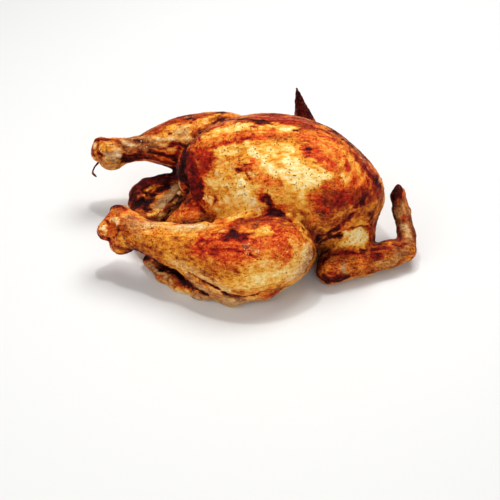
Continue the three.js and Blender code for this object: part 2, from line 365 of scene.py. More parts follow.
# ---- the skin's mesh
@dataclass
class SkinLattice:
    """Draws a closed skin of four-sided faces through a form, on a fine lattice."""

    pitch: float = 1.32
    low: Triple = (-141.0, -107.0, -3.3)
    high: Triple = (141.0, 107.0, 116.0)
    block: int = 6
    block_margin: float = 1.15
    batch: int = 400_000

    def draw(self, form: Distance) -> tuple[Array, Array]:
        """Sample the form near its skin and net it.

        Args:
            form: distance function in mm.

        Returns:
            Vertices in mm and faces of four vertex indices, facing out.
        """
        value = self._sample(form)
        self._make_unambiguous(value)
        return self._net(value)

    def _axes(self) -> list[Array]:
        """Return the lattice's coordinates along each axis, a whole number of blocks long."""
        axes = []
        for low, high in zip(self.low, self.high):
            blocks = math.ceil((high - low) / (self.pitch * self.block))
            axes.append(low + self.pitch * np.arange(blocks * self.block + 1))
        return axes

    def _sample(self, form: Distance) -> Array:
        """Return the form's value at every lattice point, exact only in blocks that the skin passes."""
        axes = self._axes()
        counts = [len(axis) for axis in axes]
        middles = [axis[: -self.block : self.block] + self.pitch * self.block / 2 for axis in axes]
        grid = np.stack(np.meshgrid(*middles, indexing="ij"), axis=-1)
        coarse = form(grid.reshape(-1, 3)).reshape(grid.shape[:3])
        span = self.block
        value = coarse.astype(np.float32)
        for axis, count in enumerate(counts):
            index = np.minimum(np.arange(count) // span, coarse.shape[axis] - 1)
            value = np.take(value, index, axis=axis)
        near = np.abs(coarse) < self.pitch * span * self.block_margin
        mask = np.zeros(counts, bool)
        for i, j, k in np.argwhere(near):
            mask[tuple(slice(n * span, (n + 1) * span + 1) for n in (i, j, k))] = True
        places = np.argwhere(mask)
        for start in range(0, len(places), self.batch):
            part = places[start : start + self.batch]
            points = np.stack([axes[n][part[:, n]] for n in range(3)], axis=1)
            value[tuple(part.T)] = form(points)
        return value

    @staticmethod
    def _make_unambiguous(value: Array) -> None:
        """Fill the outer corner nearest the skin wherever a lattice square alternates in and out."""
        moves = ((0, 0), (1, 0), (1, 1), (0, 1))
        changed = 1
        while changed:
            changed = 0
            inside = value < 0
            for sides in ((0, 1), (0, 2), (1, 2)):
                square = []
                for move in moves:
                    cut = [slice(None)] * 3
                    for axis, step in zip(sides, move):
                        cut[axis] = slice(step, value.shape[axis] - 1 + step)
                    square.append(inside[tuple(cut)])
                a, b, c, d = square
                for place in np.argwhere((a == c) & (b == d) & (a != b)):
                    corners = []
                    for move in moves:
                        spot = place.copy()
                        spot[list(sides)] += move
                        corners.append(tuple(spot))
                    outside = [spot for spot in corners if value[spot] >= 0]
                    if len(outside) == 2:
                        nearest = min(outside, key=lambda spot: value[spot])
                        value[nearest] = -max(value[nearest], 1e-6)
                        changed += 1
                inside = value < 0

    def _net(self, value: Array) -> tuple[Array, Array]:
        """Return one vertex per crossed cell and one face per crossed lattice edge."""
        inside = value < 0
        counts = value.shape
        corners = [(a, b, c) for a in (0, 1) for b in (0, 1) for c in (0, 1)]
        filled = np.zeros([n - 1 for n in counts], np.uint8)
        for corner in corners:
            filled += inside[tuple(slice(step, count - 1 + step) for step, count in zip(corner, counts))]
        crossed = (filled > 0) & (filled < 8)
        cells = np.argwhere(crossed)
        number = np.full(crossed.shape, -1, np.int64)
        number[crossed] = np.arange(len(cells))
        values = {corner: value[tuple((cells + corner).T)] for corner in corners}
        total = np.zeros((len(cells), 3))
        hits = np.zeros(len(cells))
        for start in corners:
            for axis in range(3):
                if start[axis]:
                    continue
                end = tuple(1 if n == axis else start[n] for n in range(3))
                here, there = values[start], values[end]
                cross = (here < 0) != (there < 0)
                share = np.where(cross, here / np.where(cross, here - there, 1), 0)
                place = np.tile(np.array(start, float), (len(cells), 1))
                place[:, axis] += share
                total[cross] += place[cross]
                hits[cross] += 1
        vertices = np.array(self.low) + self.pitch * (cells + total / hits[:, None])
        faces = []
        for axis in range(3):
            u, v = (axis + 1) % 3, (axis + 2) % 3
            here = inside.take(np.arange(counts[axis] - 1), axis)
            edges = np.argwhere(here != inside.take(np.arange(1, counts[axis]), axis))
            ring = []
            for du, dv in ((1, 1), (0, 1), (0, 0), (1, 0)):
                cell = edges.copy()
                cell[:, u] -= du
                cell[:, v] -= dv
                ring.append(number[tuple(cell.T)])
            quads = np.stack(ring, axis=1)
            leaving = here[tuple(edges.T)]
            quads[~leaving] = quads[~leaving][:, ::-1]
            faces.append(quads)
        return vertices, np.concatenate(faces)


def mesh_piece(name: str, vertices: Array, faces: Sequence[Sequence[int]] | Array) -> Piece:
    """Make a smooth mesh object from vertices in millimetres.

    Args:
        name: the object's name.
        vertices: places in mm, in the part's frame.
        faces: vertex indices of each face.

    Returns:
        The object, linked to the scene, at the origin.
    """
    mesh = bpy.data.meshes.new(name)
    mesh.from_pydata((vertices * MM).tolist(), [], faces.tolist() if isinstance(faces, Array) else faces)
    mesh.polygons.foreach_set("use_smooth", [True] * len(mesh.polygons))
    mesh.update()
    piece = bpy.data.objects.new(name, mesh)
    bpy.context.scene.collection.objects.link(piece)
    return piece


def write_attribute(piece: Piece, name: str, values: Array) -> None:
    """Store one number, or one vector, per vertex under a name that the materials read."""
    kind, field_name = ("FLOAT", "value") if values.ndim == 1 else ("FLOAT_VECTOR", "vector")
    attribute = piece.data.attributes.new(name, kind, "POINT")
    attribute.data.foreach_set(field_name, values.astype(np.float32).ravel())


# ---- the roast's colours, with painted shade and highlights among them
class Tone(Enum):
    """A patch of skin's colour as (browning, redness, pallor): mostly what the oven did, while the pale membrane and
    bone tones and the smoky one also paint highlights and sheen, and the darkest also paints shadow.
    """

    CREAM = (0.06, 0.10, 0.00)
    STRAW = (0.13, 0.05, 0.00)
    GOLD = (0.25, 0.10, 0.00)
    HONEY = (0.37, 0.20, 0.00)
    OCHRE = (0.50, 0.30, 0.00)
    BROWN = (0.66, 0.35, 0.00)
    APRICOT = (0.20, 0.70, 0.00)
    ORANGE = (0.35, 0.80, 0.00)
    FLAME = (0.43, 1.20, 0.00)
    RED = (0.54, 1.30, 0.00)
    RUSSET = (0.62, 0.75, 0.00)
    MAROON = (0.74, 1.20, 0.00)
    MAHOGANY = (0.86, 0.80, 0.00)
    BURNT_AND_SHADOW = (0.98, 0.70, 0.00)
    BONE = (0.12, 0.50, 0.35)
    SAND = (0.24, 0.10, 0.45)
    TAN = (0.40, 0.10, 0.50)
    UMBER = (0.58, 0.10, 0.25)
    SHEET = (0.50, 0.20, 0.80)
    FLESH = (0.36, 0.20, 0.90)
    MEMBRANE_AND_GLINT = (0.10, 0.20, 1.00)
    SMOKE = (0.78, 0.30, 0.90)


(CREAM, STRAW, GOLD, HONEY, OCHRE, BROWN, APRICOT, ORANGE, FLAME, RED, RUSSET, MAROON, MAHOGANY, BURNT_AND_SHADOW,
 BONE, SAND, TAN, UMBER, SHEET, FLESH, MEMBRANE_AND_GLINT, SMOKE) = Tone


@dataclass(frozen=True)
class Stroke:
    """A soft brush stroke on the skin: picture points (x, y, radius in mm) and how it is laid."""

    name: str
    tone: Tone
    path: tuple[Triple, ...]
    strength: float
    edge: float


@dataclass(frozen=True)
class Fold:
    """A crease pressed into the skin along picture points (x, y, radius in mm); a negative depth is a ridge."""

    name: str
    path: tuple[Triple, ...]
    depth: float
    width: float


def lay(name: str, tone: Tone, strength: float, edge: float, *path: Triple) -> Stroke:
    """Return a stroke, its picture points last."""
    return Stroke(name, tone, path, strength, edge)


def press(name: str, depth: float, width: float, *path: Triple) -> Fold:
    """Return a fold, its picture points last."""
    return Fold(name, path, depth, width)


FOLDS = (
    press("breast over flank", 2.4, 2, (184, 188, 0.4), (190, 195, 0.6), (197, 205, 0.6), (205, 214, 0.6),
        (212, 222, 0.6)),
    press("breast rim crease", 1.4, 2, (206, 128, 0.3), (193, 138, 0.3), (185, 149, 0.4), (182, 163, 0.5),
        (184, 180, 0.5)),
    press("breast rim ridge", -0.7, 2.2, (212, 129, 1), (200, 138, 1), (193, 148, 1), (190, 160, 1), (192, 178, 1)),
    press("leg top crease", 2, 2.2, (213, 222, 0.4), (235, 220, 0.5), (258, 215, 0.5), (276, 209, 0.5)),
    press("thigh crease", 2.2, 2.2, (291, 207, 0.3), (303, 219, 0.4), (310, 229, 0.6), (316, 241, 0.8),
        (318, 252, 0.8)),
    press("shoulder crease", 1.6, 1.8, (318, 238, 0.6), (327, 234, 0.5), (336, 228, 0.4), (346, 220, 0.4),
        (354, 212, 0.3)),
    press("shoulder fold two", 0.9, 1.6, (330, 240, 0.3), (342, 233, 0.4), (356, 224, 0.4), (368, 213, 0.3)),
    press("breast lower edge", 1.6, 1.8, (322, 246, 0.8), (328, 241, 0.7), (338, 238, 0.5), (352, 232, 0.4),
        (368, 227, 0.4)),
    press("scorch wrinkle", 1, 1.6, (264, 192, 0.4), (270, 200, 0.5), (274, 209, 0.5), (282, 216, 0.4)),
    press("scorch wrinkle two", 0.8, 1.5, (258, 196, 0.3), (264, 204, 0.4), (268, 213, 0.3)),
    press("skin notch", 1.2, 1.3, (214, 171, 0.4), (214, 177, 0.5), (220, 178, 0.3)),
    press("skin notch lip", -0.7, 1.3, (217, 172, 0.8), (221, 174, 0.8)),
    press("slash wrinkle", 0.6, 1.4, (236, 179, 0.3), (243, 190, 0.4), (249, 203, 0.3)),
    press("slash ridge", -0.5, 1.6, (240, 180, 0.6), (246, 190, 0.8), (251, 201, 0.6)),
    press("eye hole", 0.9, 1.3, (210, 204, 0.4), (214, 203, 0.6)),
    press("tail crease", 1.4, 1.4, (137, 198, 0.4), (143, 192, 0.5), (152, 189, 0.5), (166, 186, 0.4)),
    press("tail crease two", 1.2, 1.3, (142, 201, 0.4), (150, 196, 0.5), (160, 192, 0.4)),
    press("tail pit", 2, 2, (137, 202, 1.6), (144, 205, 2.2), (147, 210, 1.4)),
    press("vent gap", 2.2, 1.8, (185, 178, 1), (187, 188, 1.4), (184, 198, 1.2), (177, 208, 0.8), (170, 217, 0.6)),
    press("vent rim", -0.9, 1.3, (180, 184, 0.5), (180, 194, 0.5), (173, 205, 0.5), (166, 215, 0.5)),
    press("knuckle pit", 3, 1.8, (113, 224, 1.2), (117, 229, 1.4), (114, 236, 1)),
    press("knuckle split", 2.4, 1.3, (104, 222, 0.4), (109, 225, 0.5), (113, 227, 0.4)),
    press("knuckle top split", 2, 1.4, (107, 216, 0.4), (115, 214, 0.5), (122, 215, 0.5), (126, 211, 0.4)),
    press("knuckle under split", 2, 1.4, (103, 239, 0.4), (109, 239, 0.6), (114, 241, 0.4)),
    press("knuckle collar", 1.6, 1.6, (128, 211, 0.5), (125, 222, 0.6), (121, 234, 0.5), (122, 243, 0.4)),
    press("knob gleam top", -0.9, 1.8, (111, 220, 1.2), (116, 222, 1.2)),
    press("knob gleam left", -0.9, 2, (101, 229, 1.6), (106, 230, 1.6)),
    press("knob gleam bulb", -0.8, 2, (112, 208, 1.4), (119, 208, 1.4)),
    press("shin tendon", -0.8, 2, (134, 218, 0.6), (150, 223, 0.7), (175, 226, 0.8), (205, 226, 0.7)),
    press("shin hollow", 0.8, 2.2, (136, 228, 0.5), (155, 232, 0.6), (180, 234, 0.6), (206, 233, 0.5)),
    press("red tear", 1.1, 1.6, (198, 249, 0.4), (215, 248, 0.5), (232, 250, 0.6), (246, 253, 0.7), (258, 257, 0.6)),
    press("scorch band", 0.8, 1.8, (205, 238, 0.5), (223, 237, 0.6), (240, 233, 0.6)),
    press("flap fold one", 0.8, 1.4, (166, 256, 0.3), (180, 259, 0.4), (196, 261, 0.4), (212, 263, 0.3)),
    press("flap fold two", 0.9, 1.4, (172, 262, 0.3), (186, 266, 0.4), (202, 270, 0.4), (216, 273, 0.3)),
    press("flap fold three", 1, 1.4, (186, 272, 0.3), (198, 278, 0.4), (210, 284, 0.4), (222, 289, 0.3)),
    press("flap fold four", 0.7, 1.3, (192, 268, 0.3), (206, 275, 0.4), (218, 281, 0.3)),
    press("flap lip", -0.9, 1.5, (189, 277, 0.5), (196, 285, 0.6), (206, 291, 0.6), (220, 296, 0.6)),
    press("under edge", 1.8, 1.6, (224, 293, 0.5), (236, 297, 0.7), (248, 298, 0.7), (258, 295, 0.5),
        (266, 291, 0.4)),
    press("thigh sheet edge", -0.6, 2, (312, 250, 0.6), (310, 260, 0.8), (304, 271, 0.8), (295, 282, 0.6)),
    press("far hock crease", 2.4, 1.3, (98, 141, 0.4), (97, 148, 0.5), (99, 154, 0.5), (104, 157, 0.4)),
    press("far hock crease two", 1.8, 1.3, (106, 142, 0.4), (105, 149, 0.5), (106, 156, 0.4)),
    press("far hock ridge", -0.8, 1.6, (101, 144, 1), (101, 150, 1)),
    press("far skin flap", -0.8, 1.8, (106, 158, 0.8), (113, 160, 1), (121, 155, 0.8)),
    press("far skin fold", 1.4, 1.3, (105, 163, 0.4), (113, 165, 0.5), (120, 161, 0.4)),
    press("far skin collar", 2.2, 1.5, (124, 148, 0.5), (125, 158, 0.6), (121, 166, 0.5)),
    press("far tendon", -0.7, 1.6, (122, 141, 0.6), (140, 141, 0.7), (160, 140, 0.6), (180, 140, 0.5)),
    press("far tendon groove", 1, 1.5, (124, 147, 0.4), (142, 149, 0.5), (164, 147, 0.4)),
    press("far thigh crease", 1.8, 2, (176, 146, 0.5), (181, 138, 0.5), (190, 131, 0.4), (203, 124, 0.4),
        (220, 118, 0.4)),
    press("forearm crease", 1.3, 1.8, (326, 258, 0.5), (340, 252, 0.6), (356, 250, 0.6), (374, 249, 0.5)),
    press("forearm ridge", -0.6, 2.2, (330, 266, 0.8), (350, 262, 0.9), (372, 259, 0.8)),
    press("forearm wrinkle", 1, 1.4, (372, 252, 0.4), (379, 258, 0.5), (386, 260, 0.4)),
    press("elbow pit", 1, 1.6, (322, 276, 0.6), (331, 279, 0.8), (342, 278, 0.6)),
    press("hand crease", 1, 1.5, (394, 198, 0.4), (396, 212, 0.5), (399, 226, 0.5), (400, 240, 0.5)),
    press("wrist crease", 1, 1.5, (396, 244, 0.5), (404, 247, 0.6), (412, 246, 0.5)),
    press("neck ripple one", 1.1, 1.4, (328, 223, 0.4), (342, 216, 0.5), (352, 208, 0.4), (361, 202, 0.4)),
    press("neck ripple two", 1.2, 1.4, (346, 224, 0.4), (356, 217, 0.5), (366, 209, 0.5), (372, 203, 0.4)),
    press("neck ripple three", 1, 1.3, (358, 223, 0.4), (367, 216, 0.5), (374, 209, 0.4)),
    press("shoulder flake one", 1.2, 1.3, (312, 129, 0.4), (326, 132, 0.5), (338, 138, 0.5), (348, 147, 0.4)),
    press("shoulder flake two", 1.1, 1.2, (305, 125, 0.4), (318, 127, 0.5), (330, 131, 0.4)),
    press("shoulder flake lip", -0.8, 1.4, (322, 126, 0.6), (331, 129, 0.7), (342, 136, 0.6)),
    press("shoulder wave one", 0.9, 1.3, (336, 156, 0.4), (341, 168, 0.5), (342, 182, 0.4)),
    press("shoulder wave two", 0.9, 1.3, (349, 156, 0.4), (354, 168, 0.5), (356, 184, 0.4)),
    press("shoulder wave three", 0.9, 1.3, (360, 162, 0.4), (367, 174, 0.5), (369, 190, 0.4)),
    press("drumette crease", 1, 1.6, (326, 248, 0.5), (334, 250, 0.5), (345, 250, 0.5)),
)
BREAST_STROKES = (
    lay("breast ground", GOLD, 0.85, 10, (225, 150, 14), (250, 185, 18), (285, 165, 20)),
    lay("top orange ground", ORANGE, 0.9, 3, (204, 139, 3), (222, 136, 3), (240, 134, 4), (262, 133, 5),
        (286, 134, 4), (308, 139, 5), (326, 147, 4)),
    lay("dark rim ground", MAROON, 1, 4, (190, 158, 4), (190, 168, 7), (192, 180, 8), (199, 196, 4)),
    lay("red end ground", RED, 0.9, 4, (196, 153, 3), (203, 152, 4), (208, 160, 6), (204, 170, 4), (203, 184, 2)),
    lay("lower field", STRAW, 1, 4, (212, 180, 4), (224, 190, 7), (238, 200, 9), (250, 208, 5), (236, 216, 6),
        (222, 214, 5)),
    lay("shoulder ground", ORANGE, 0.85, 8, (328, 142, 8), (345, 155, 10), (360, 175, 10), (345, 190, 8)),
    lay("shoulder far russet", RUSSET, 0.85, 4, (352, 150, 2), (364, 162, 4), (374, 176, 6), (380, 192, 6)),
    lay("lower shoulder ground", OCHRE, 0.95, 5, (318, 224, 5), (335, 214, 8), (355, 210, 8), (372, 210, 6)),
    lay("upper field", STRAW, 0.8, 4, (222, 152, 3), (236, 150, 4)),
    lay("amber middle", HONEY, 0.8, 3, (240, 156, 4), (252, 152, 5), (256, 160, 3)),
    lay("gold middle low", GOLD, 0.9, 3, (292, 196, 3), (301, 200, 4), (306, 206, 2.4)),
    lay("gold top field", STRAW, 0.85, 4, (258, 146, 3), (272, 150, 6), (288, 150, 7), (300, 148, 3)),
    lay("honey tint", HONEY, 0.5, 3, (268, 143, 1.4), (279, 148, 1.6), (281, 160, 1.2)),
    lay("cream field", CREAM, 1, 3, (288, 162, 4), (294, 174, 8), (306, 176, 8), (319, 176, 6.5), (325, 175, 4),
        (302, 188, 5)),
    lay("cream low end", CREAM, 0.9, 2, (303, 190, 2.4), (300, 198, 1.4)),
    lay("cream streak", CREAM, 0.95, 2, (247, 146, 2), (256, 153, 2.6), (263, 161, 3.2), (271, 168, 3.2),
        (280, 175, 3), (288, 182, 2.6)),
    lay("gold low middle", GOLD, 0.8, 3, (286, 186, 3), (294, 193, 3.5), (300, 203, 3)),
    lay("gold thread", HONEY, 0.8, 1.6, (303, 172, 0.7), (303, 184, 0.9), (299, 192, 0.8)),
    lay("straw band", STRAW, 1, 2.2, (199, 141, 2), (212, 134, 3.4), (228, 129, 4.4), (243, 127, 4.4),
        (253, 128, 2.6)),
    lay("orange rim band", ORANGE, 0.95, 2, (189, 150, 2.4), (200, 145, 2), (222, 137, 1.6), (250, 134, 1.6)),
    lay("crest peach", BROWN, 0.7, 1.4, (228, 117.5, 1), (245, 117, 1.2), (262, 118, 1.2)),
    lay("red crest", RED, 0.85, 2, (266, 119, 1.6), (280, 120, 2), (296, 121, 2.2), (306, 121, 1.6)),
    lay("crest flame", ORANGE, 0.9, 2, (255, 126, 1.2), (264, 128, 1.6), (258, 130, 1)),
    lay("pale top patch", STRAW, 1, 2, (263, 128, 2.8), (272, 128, 3.8), (282, 129, 4), (296, 131, 2.4)),
    lay("pale top heart", CREAM, 1, 1.6, (270, 128, 1.8), (282, 129, 2.2), (292, 130, 1.4)),
    lay("dark keel line", MAHOGANY, 1, 1.4, (222, 120.5, 1.6), (234, 119, 1.8), (246, 119, 1.8), (256, 120.5, 2),
        (266, 122.5, 1.8)),
    lay("burnt keel spot", BURNT_AND_SHADOW, 1, 1, (257, 120.5, 1.3), (263, 121, 1.4)),
    lay("thin dark line", MAHOGANY, 1, 1, (267, 124, 0.8), (274, 126, 0.7), (284, 127, 0.4)),
    lay("thin dark end", BURNT_AND_SHADOW, 1, 0.9, (292, 131, 0.5), (297, 131, 1), (301, 130, 0.7)),
    lay("red ribbon", FLAME, 1, 1.8, (206, 150, 1.7), (214, 147, 1.7), (224, 143, 2), (236, 141, 2.4),
        (250, 138.5, 2), (264, 139, 1.5)),
    lay("red ribbon far", FLAME, 0.8, 1.6, (262, 138.5, 1.2), (276, 137, 1.2), (290, 136.5, 1.2), (305, 138, 1.4),
        (318, 142, 1.4)),
    lay("ribbon core", RED, 1, 1.1, (214, 147, 1), (226, 143, 1.3), (236, 141.5, 1.6), (250, 138.5, 1.2)),
    lay("ribbon spot", MAROON, 1, 1.2, (248, 138.5, 1.2)),
    lay("red end", RED, 1, 2, (200, 153, 4), (208, 157, 5), (204, 164, 4.4)),
    lay("red end core", MAROON, 0.35, 2, (203, 158, 1.8), (209, 161, 1.4)),
    lay("red end spill", ORANGE, 0.8, 2, (216, 155, 1), (218, 163, 1.4), (213, 168, 1)),
    lay("maroon end", MAROON, 1, 2, (192, 160, 3), (194, 172, 5), (198, 184, 4.4), (203, 196, 2.4), (207, 208, 1.2)),
    lay("orange border", ORANGE, 0.8, 2, (205, 174, 0.8), (207, 188, 1), (210, 204, 1.6), (214, 216, 1.6)),
    lay("dark rim", MAHOGANY, 1, 1.5, (224, 117.5, 1.4), (212, 123.5, 1.8), (200, 131, 1.8), (191, 139, 2.2),
        (184, 149, 3), (182, 164, 4), (183, 178, 4), (189, 190, 2.6), (198, 203, 1.6), (205, 213, 1)),
    lay("burnt rim", BURNT_AND_SHADOW, 1, 1.4, (219, 119, 0.7), (206, 127, 0.9), (193, 137.5, 1), (184, 150, 1.6),
        (183, 163, 2.6), (181, 178, 2.8)),
    lay("rim flame", ORANGE, 1, 1.8, (189, 148, 2), (194, 146, 2.6), (202, 144, 2.4), (212, 142.5, 1.8)),
    lay("rim red", RED, 0.9, 1.8, (191, 153, 1.4), (196, 157, 1.8), (199, 163, 1.6)),
    lay("rim mauve", RED, 0.6, 1.6, (187, 158, 1.2), (190, 168, 1.4), (190, 178, 1)),
    lay("inner rim line", RED, 0.9, 1.2, (226, 123, 1), (214, 128.5, 1.3), (203, 135.5, 1.3), (195, 143, 1.2)),
    lay("orange curve", APRICOT, 0.9, 2, (221, 165, 1.8), (232, 162, 1.6), (246, 163, 1.8), (262, 169, 1.4)),
    lay("flame curve end", FLAME, 0.95, 1.4, (254, 161, 1.6), (259, 165, 1.9)),
    lay("purple scorch", MAROON, 1, 2, (238, 171, 1.6), (244, 167.5, 2.8), (251, 169.5, 2)),
    lay("scorch hole", MAHOGANY, 1, 0.9, (239, 173, 1.3), (240, 169, 1.1)),
    lay("scorch line", MAHOGANY, 1, 0.9, (246, 172, 1), (249, 177, 1), (252, 181, 0.7)),
    lay("scorch trail", ORANGE, 0.85, 2, (252, 168, 1.3), (262, 176, 2.1), (272, 180, 2.6)),
    # painted highlight: the whitish gleam on the notch's raised lip
    lay("notch painted highlight", BONE, 0.85, 1.3, (217, 173, 1.6), (221, 174, 1.6)),
    lay("notch shadow", MAHOGANY, 1, 0.8, (214.5, 171, 0.8), (214.5, 177, 0.9), (220, 178, 0.8)),
    lay("peach spot", SAND, 0.9, 1.6, (232, 168, 1.7), (233, 173, 1.2)),
    lay("peach spot right", SAND, 0.95, 1.3, (250, 173, 1.6), (254, 177, 1.6)),
    lay("flame spot", FLAME, 0.9, 1.5, (228, 176, 1.1), (232, 181, 1)),
    lay("pale slash", CREAM, 1, 1.6, (235, 176, 1.4), (241, 184, 2.6), (247, 194, 3), (251, 204, 2.4)),
    lay("slash edge", HONEY, 0.6, 1, (239, 190, 0.5), (243, 198, 0.6), (246, 206, 0.5)),
    lay("field lines", HONEY, 0.6, 1.1, (226, 186, 0.5), (231, 196, 0.7), (234, 208, 0.5)),
    lay("field lines low", GOLD, 0.7, 1.2, (218, 204, 0.7), (226, 212, 0.9), (236, 214, 0.6)),
    lay("pen line", MAHOGANY, 0.9, 0.7, (246, 214, 0.4), (249, 210, 0.4)),
    lay("amber corner", HONEY, 0.95, 2.2, (209, 190, 2.4), (218, 191, 2.8), (226, 191, 2)),
    lay("orange flush", ORANGE, 0.9, 2.5, (256, 178, 2.4), (266, 186, 4), (274, 184, 3.4), (280, 192, 2.6)),
    lay("flush flecks", SAND, 0.7, 1.3, (255, 186, 1.1), (259, 192, 1.4), (262, 196, 1)),
    lay("flush line", RUSSET, 1, 1.3, (264, 182, 0.9), (267, 191, 1.2)),
    lay("flush line right", RUSSET, 0.5, 1.2, (278, 172, 0.6), (280, 178, 0.9), (283, 186, 0.8)),
    lay("cream eye", CREAM, 1, 1.5, (208, 199, 2.6), (213, 201, 3)),
    # painted highlight: a white glint beside the dark knot
    lay("white painted highlight spot", BONE, 1, 2, (255, 202, 1.8), (258, 208, 2.6)),
    lay("russet knot", ORANGE, 1, 2.5, (260, 193, 2.6), (268, 202, 4.6), (281, 209, 5.4), (276, 217, 4)),
    lay("maroon knot", RED, 1, 2, (262, 198, 2.2), (269, 207, 3), (279, 214, 3.4), (268, 217, 2.6)),
    lay("knot bridge", MAROON, 1, 1.6, (265, 195, 2.4), (269, 203, 3.2), (274, 210, 3.4), (280, 215, 2.6)),
    lay("burnt knot", MAHOGANY, 0.8, 1.3, (264, 188, 1), (268, 197, 1.8), (271, 206, 2.4), (276, 212, 2.8),
        (283, 217, 1.8), (268, 215, 1.4)),
    lay("knot gleam", FLESH, 0.5, 1, (266, 200, 0.7), (269, 206, 0.8), (279, 212, 0.7)),
    lay("crimson saddle", MAROON, 1, 1.8, (243, 220, 1.6), (252, 218, 2.6), (262, 218, 3)),
    lay("brown hollow", ORANGE, 0.9, 2, (284, 204, 2.6), (291, 207, 2.4)),
    lay("beige hollow", STRAW, 1, 2, (289, 213, 2.4), (297, 215, 3), (301, 222, 2), (305, 230, 1.6)),
    lay("red eye", FLAME, 1, 1.8, (301, 149, 2.8), (310, 152, 4.6), (321, 157, 5), (331, 166, 4.4)),
    lay("red eye heart", RED, 0.9, 2, (305, 148, 2), (312, 154, 2), (316, 158, 1.2)),
    lay("purple eye", MAHOGANY, 1, 1.2, (309, 149, 1.2), (310, 152, 1.5)),
    lay("eye freckle", MAROON, 0.8, 1.4, (331, 155, 1), (331, 160, 1)),
    lay("eye peach", APRICOT, 0.7, 1.2, (320, 160, 0.6), (326, 165, 0.7)),
    lay("eye border", BROWN, 0.95, 0.9, (306, 158, 0.9), (313, 163, 1), (321, 168, 1), (327, 173, 1.1)),
    lay("eye border end", BURNT_AND_SHADOW, 1, 0.9, (328, 175, 0.6), (329, 179, 0.8)),
    lay("orange arc", ORANGE, 0.95, 2.2, (322, 143, 2.4), (336, 150, 3.4), (345, 162, 3)),
    lay("gold shoulder field", GOLD, 0.9, 2.2, (343, 150, 2.4), (352, 157, 3), (343, 166, 2)),
    lay("red arc", RED, 0.95, 1.4, (345, 158, 1.3), (348, 167, 1.8), (349, 176, 1.4)),
    lay("red arc right", FLAME, 0.95, 1.8, (352, 172, 1.6), (354, 180, 2), (358, 186, 2)),
    lay("gold arc one", GOLD, 0.9, 1.2, (318, 139, 0.8), (330, 143, 1), (340, 150, 0.8)),
    lay("gold arc two", GOLD, 0.9, 1.4, (356, 162, 1), (360, 172, 1.4), (361, 181, 1)),
    lay("pale arc", CREAM, 1, 1.3, (342, 172, 1.1), (344, 178, 2), (344, 184, 1.3)),
    lay("arc hole", MAHOGANY, 1, 0.8, (340, 178, 1), (340, 181, 0.9)),
    lay("flame low", FLAME, 0.9, 2, (336, 182, 2), (340, 190, 2.5), (326, 189, 1.6)),
    lay("edge russet", RUSSET, 1, 1.6, (351, 151, 0.8), (357, 158, 1), (364, 165, 1.6), (369, 173, 2.4),
        (375, 181, 3.4), (380, 192, 3)),
    lay("edge maroon", MAROON, 1, 1.8, (365, 167, 1.4), (371, 176, 2.8), (378, 184, 3.4)),
    lay("edge purple", MAHOGANY, 0.95, 1.4, (374, 176, 1.2), (378, 185, 2.2)),
    lay("edge peach", APRICOT, 0.95, 1, (351, 149, 0.6), (360, 157, 0.7), (369, 164, 0.7), (377, 172, 0.5)),
    lay("edge dark", MAHOGANY, 0.95, 1.2, (333, 131, 0.8), (340, 137, 1.1), (353, 144, 0.8), (362, 152, 0.6)),
    lay("far top russet", RUSSET, 0.85, 1.8, (303, 124, 2), (314, 127, 2.4), (326, 130, 2), (340, 143, 1)),
    lay("far top dark", MAHOGANY, 0.9, 1.1, (307, 125, 1), (312, 127, 1.2), (320, 129, 1.2), (328, 131, 0.8)),
    lay("far top edge", BURNT_AND_SHADOW, 1, 1, (322, 124.5, 0.8), (330, 127.5, 1)),
    lay("far top gold", HONEY, 0.9, 1.1, (313, 131, 0.7), (324, 133, 0.8), (332, 135, 0.6)),
    lay("far top red", RED, 0.85, 1.4, (318, 136, 1), (328, 138, 1.2), (335, 140, 1)),
    lay("maroon blots", MAROON, 0.9, 1.5, (366, 178, 1), (368, 184, 1.2), (367, 190, 1)),
    lay("purple blot", MAHOGANY, 1, 1, (361, 188, 0.8), (362, 192, 0.9)),
    lay("shoulder russet", RUSSET, 0.95, 3, (318, 202, 4), (328, 201, 7), (342, 198, 8), (358, 194, 7), (374, 194, 6),
        (382, 196, 3)),
    lay("shoulder red", FLAME, 1, 2, (310, 194, 2), (316, 196, 3.4), (318, 206, 3)),
    lay("shoulder maroon", RED, 0.9, 1.8, (321, 203, 2), (327, 208, 2.4)),
    lay("shoulder maroon top", RED, 1, 2, (335, 199, 2.2), (344, 196, 3), (350, 199, 2.6)),
    # painted highlight: a pinkish glint on the dark shoulder
    lay("shoulder painted highlight", APRICOT, 0.8, 1, (343, 205, 0.6), (348, 202, 0.7)),
    lay("shoulder dusk", MAROON, 0.8, 1.8, (330, 206, 1.6), (338, 203, 2.2), (346, 199, 2), (352, 196, 1.6)),
    lay("shoulder scorch", MAHOGANY, 0.95, 1.8, (355, 206, 1.4), (361, 201, 2.2), (368, 195, 2)),
    lay("shoulder scorch low", MAROON, 1, 1.6, (359, 203, 1.8), (356, 209, 2.6), (353, 214, 1.8)),
    lay("neck honey", OCHRE, 0.95, 1.8, (374, 206, 2.4), (380, 206, 2)),
    lay("neck line", MAHOGANY, 1, 1, (371, 209, 1.3), (367, 215, 1.6), (361, 220, 1.3)),
    lay("neck line two", MAROON, 1, 1.1, (357, 214, 1), (350, 220, 1.3), (342, 226, 1.3), (334, 231, 1)),
    # painted highlights along the ripples of the lower shoulder, beside their dark lines
    lay("neck painted highlight one", GOLD, 0.95, 1.1, (346, 217, 0.9), (354, 211, 1.1), (362, 206, 0.9)),
    lay("neck painted highlight two", STRAW, 0.95, 1.1, (357, 222, 0.8), (366, 215, 1.1), (373, 207, 1)),
    lay("neck dark line", MAHOGANY, 1, 1, (342, 223, 0.7), (352, 215, 0.9), (360, 210, 0.7)),
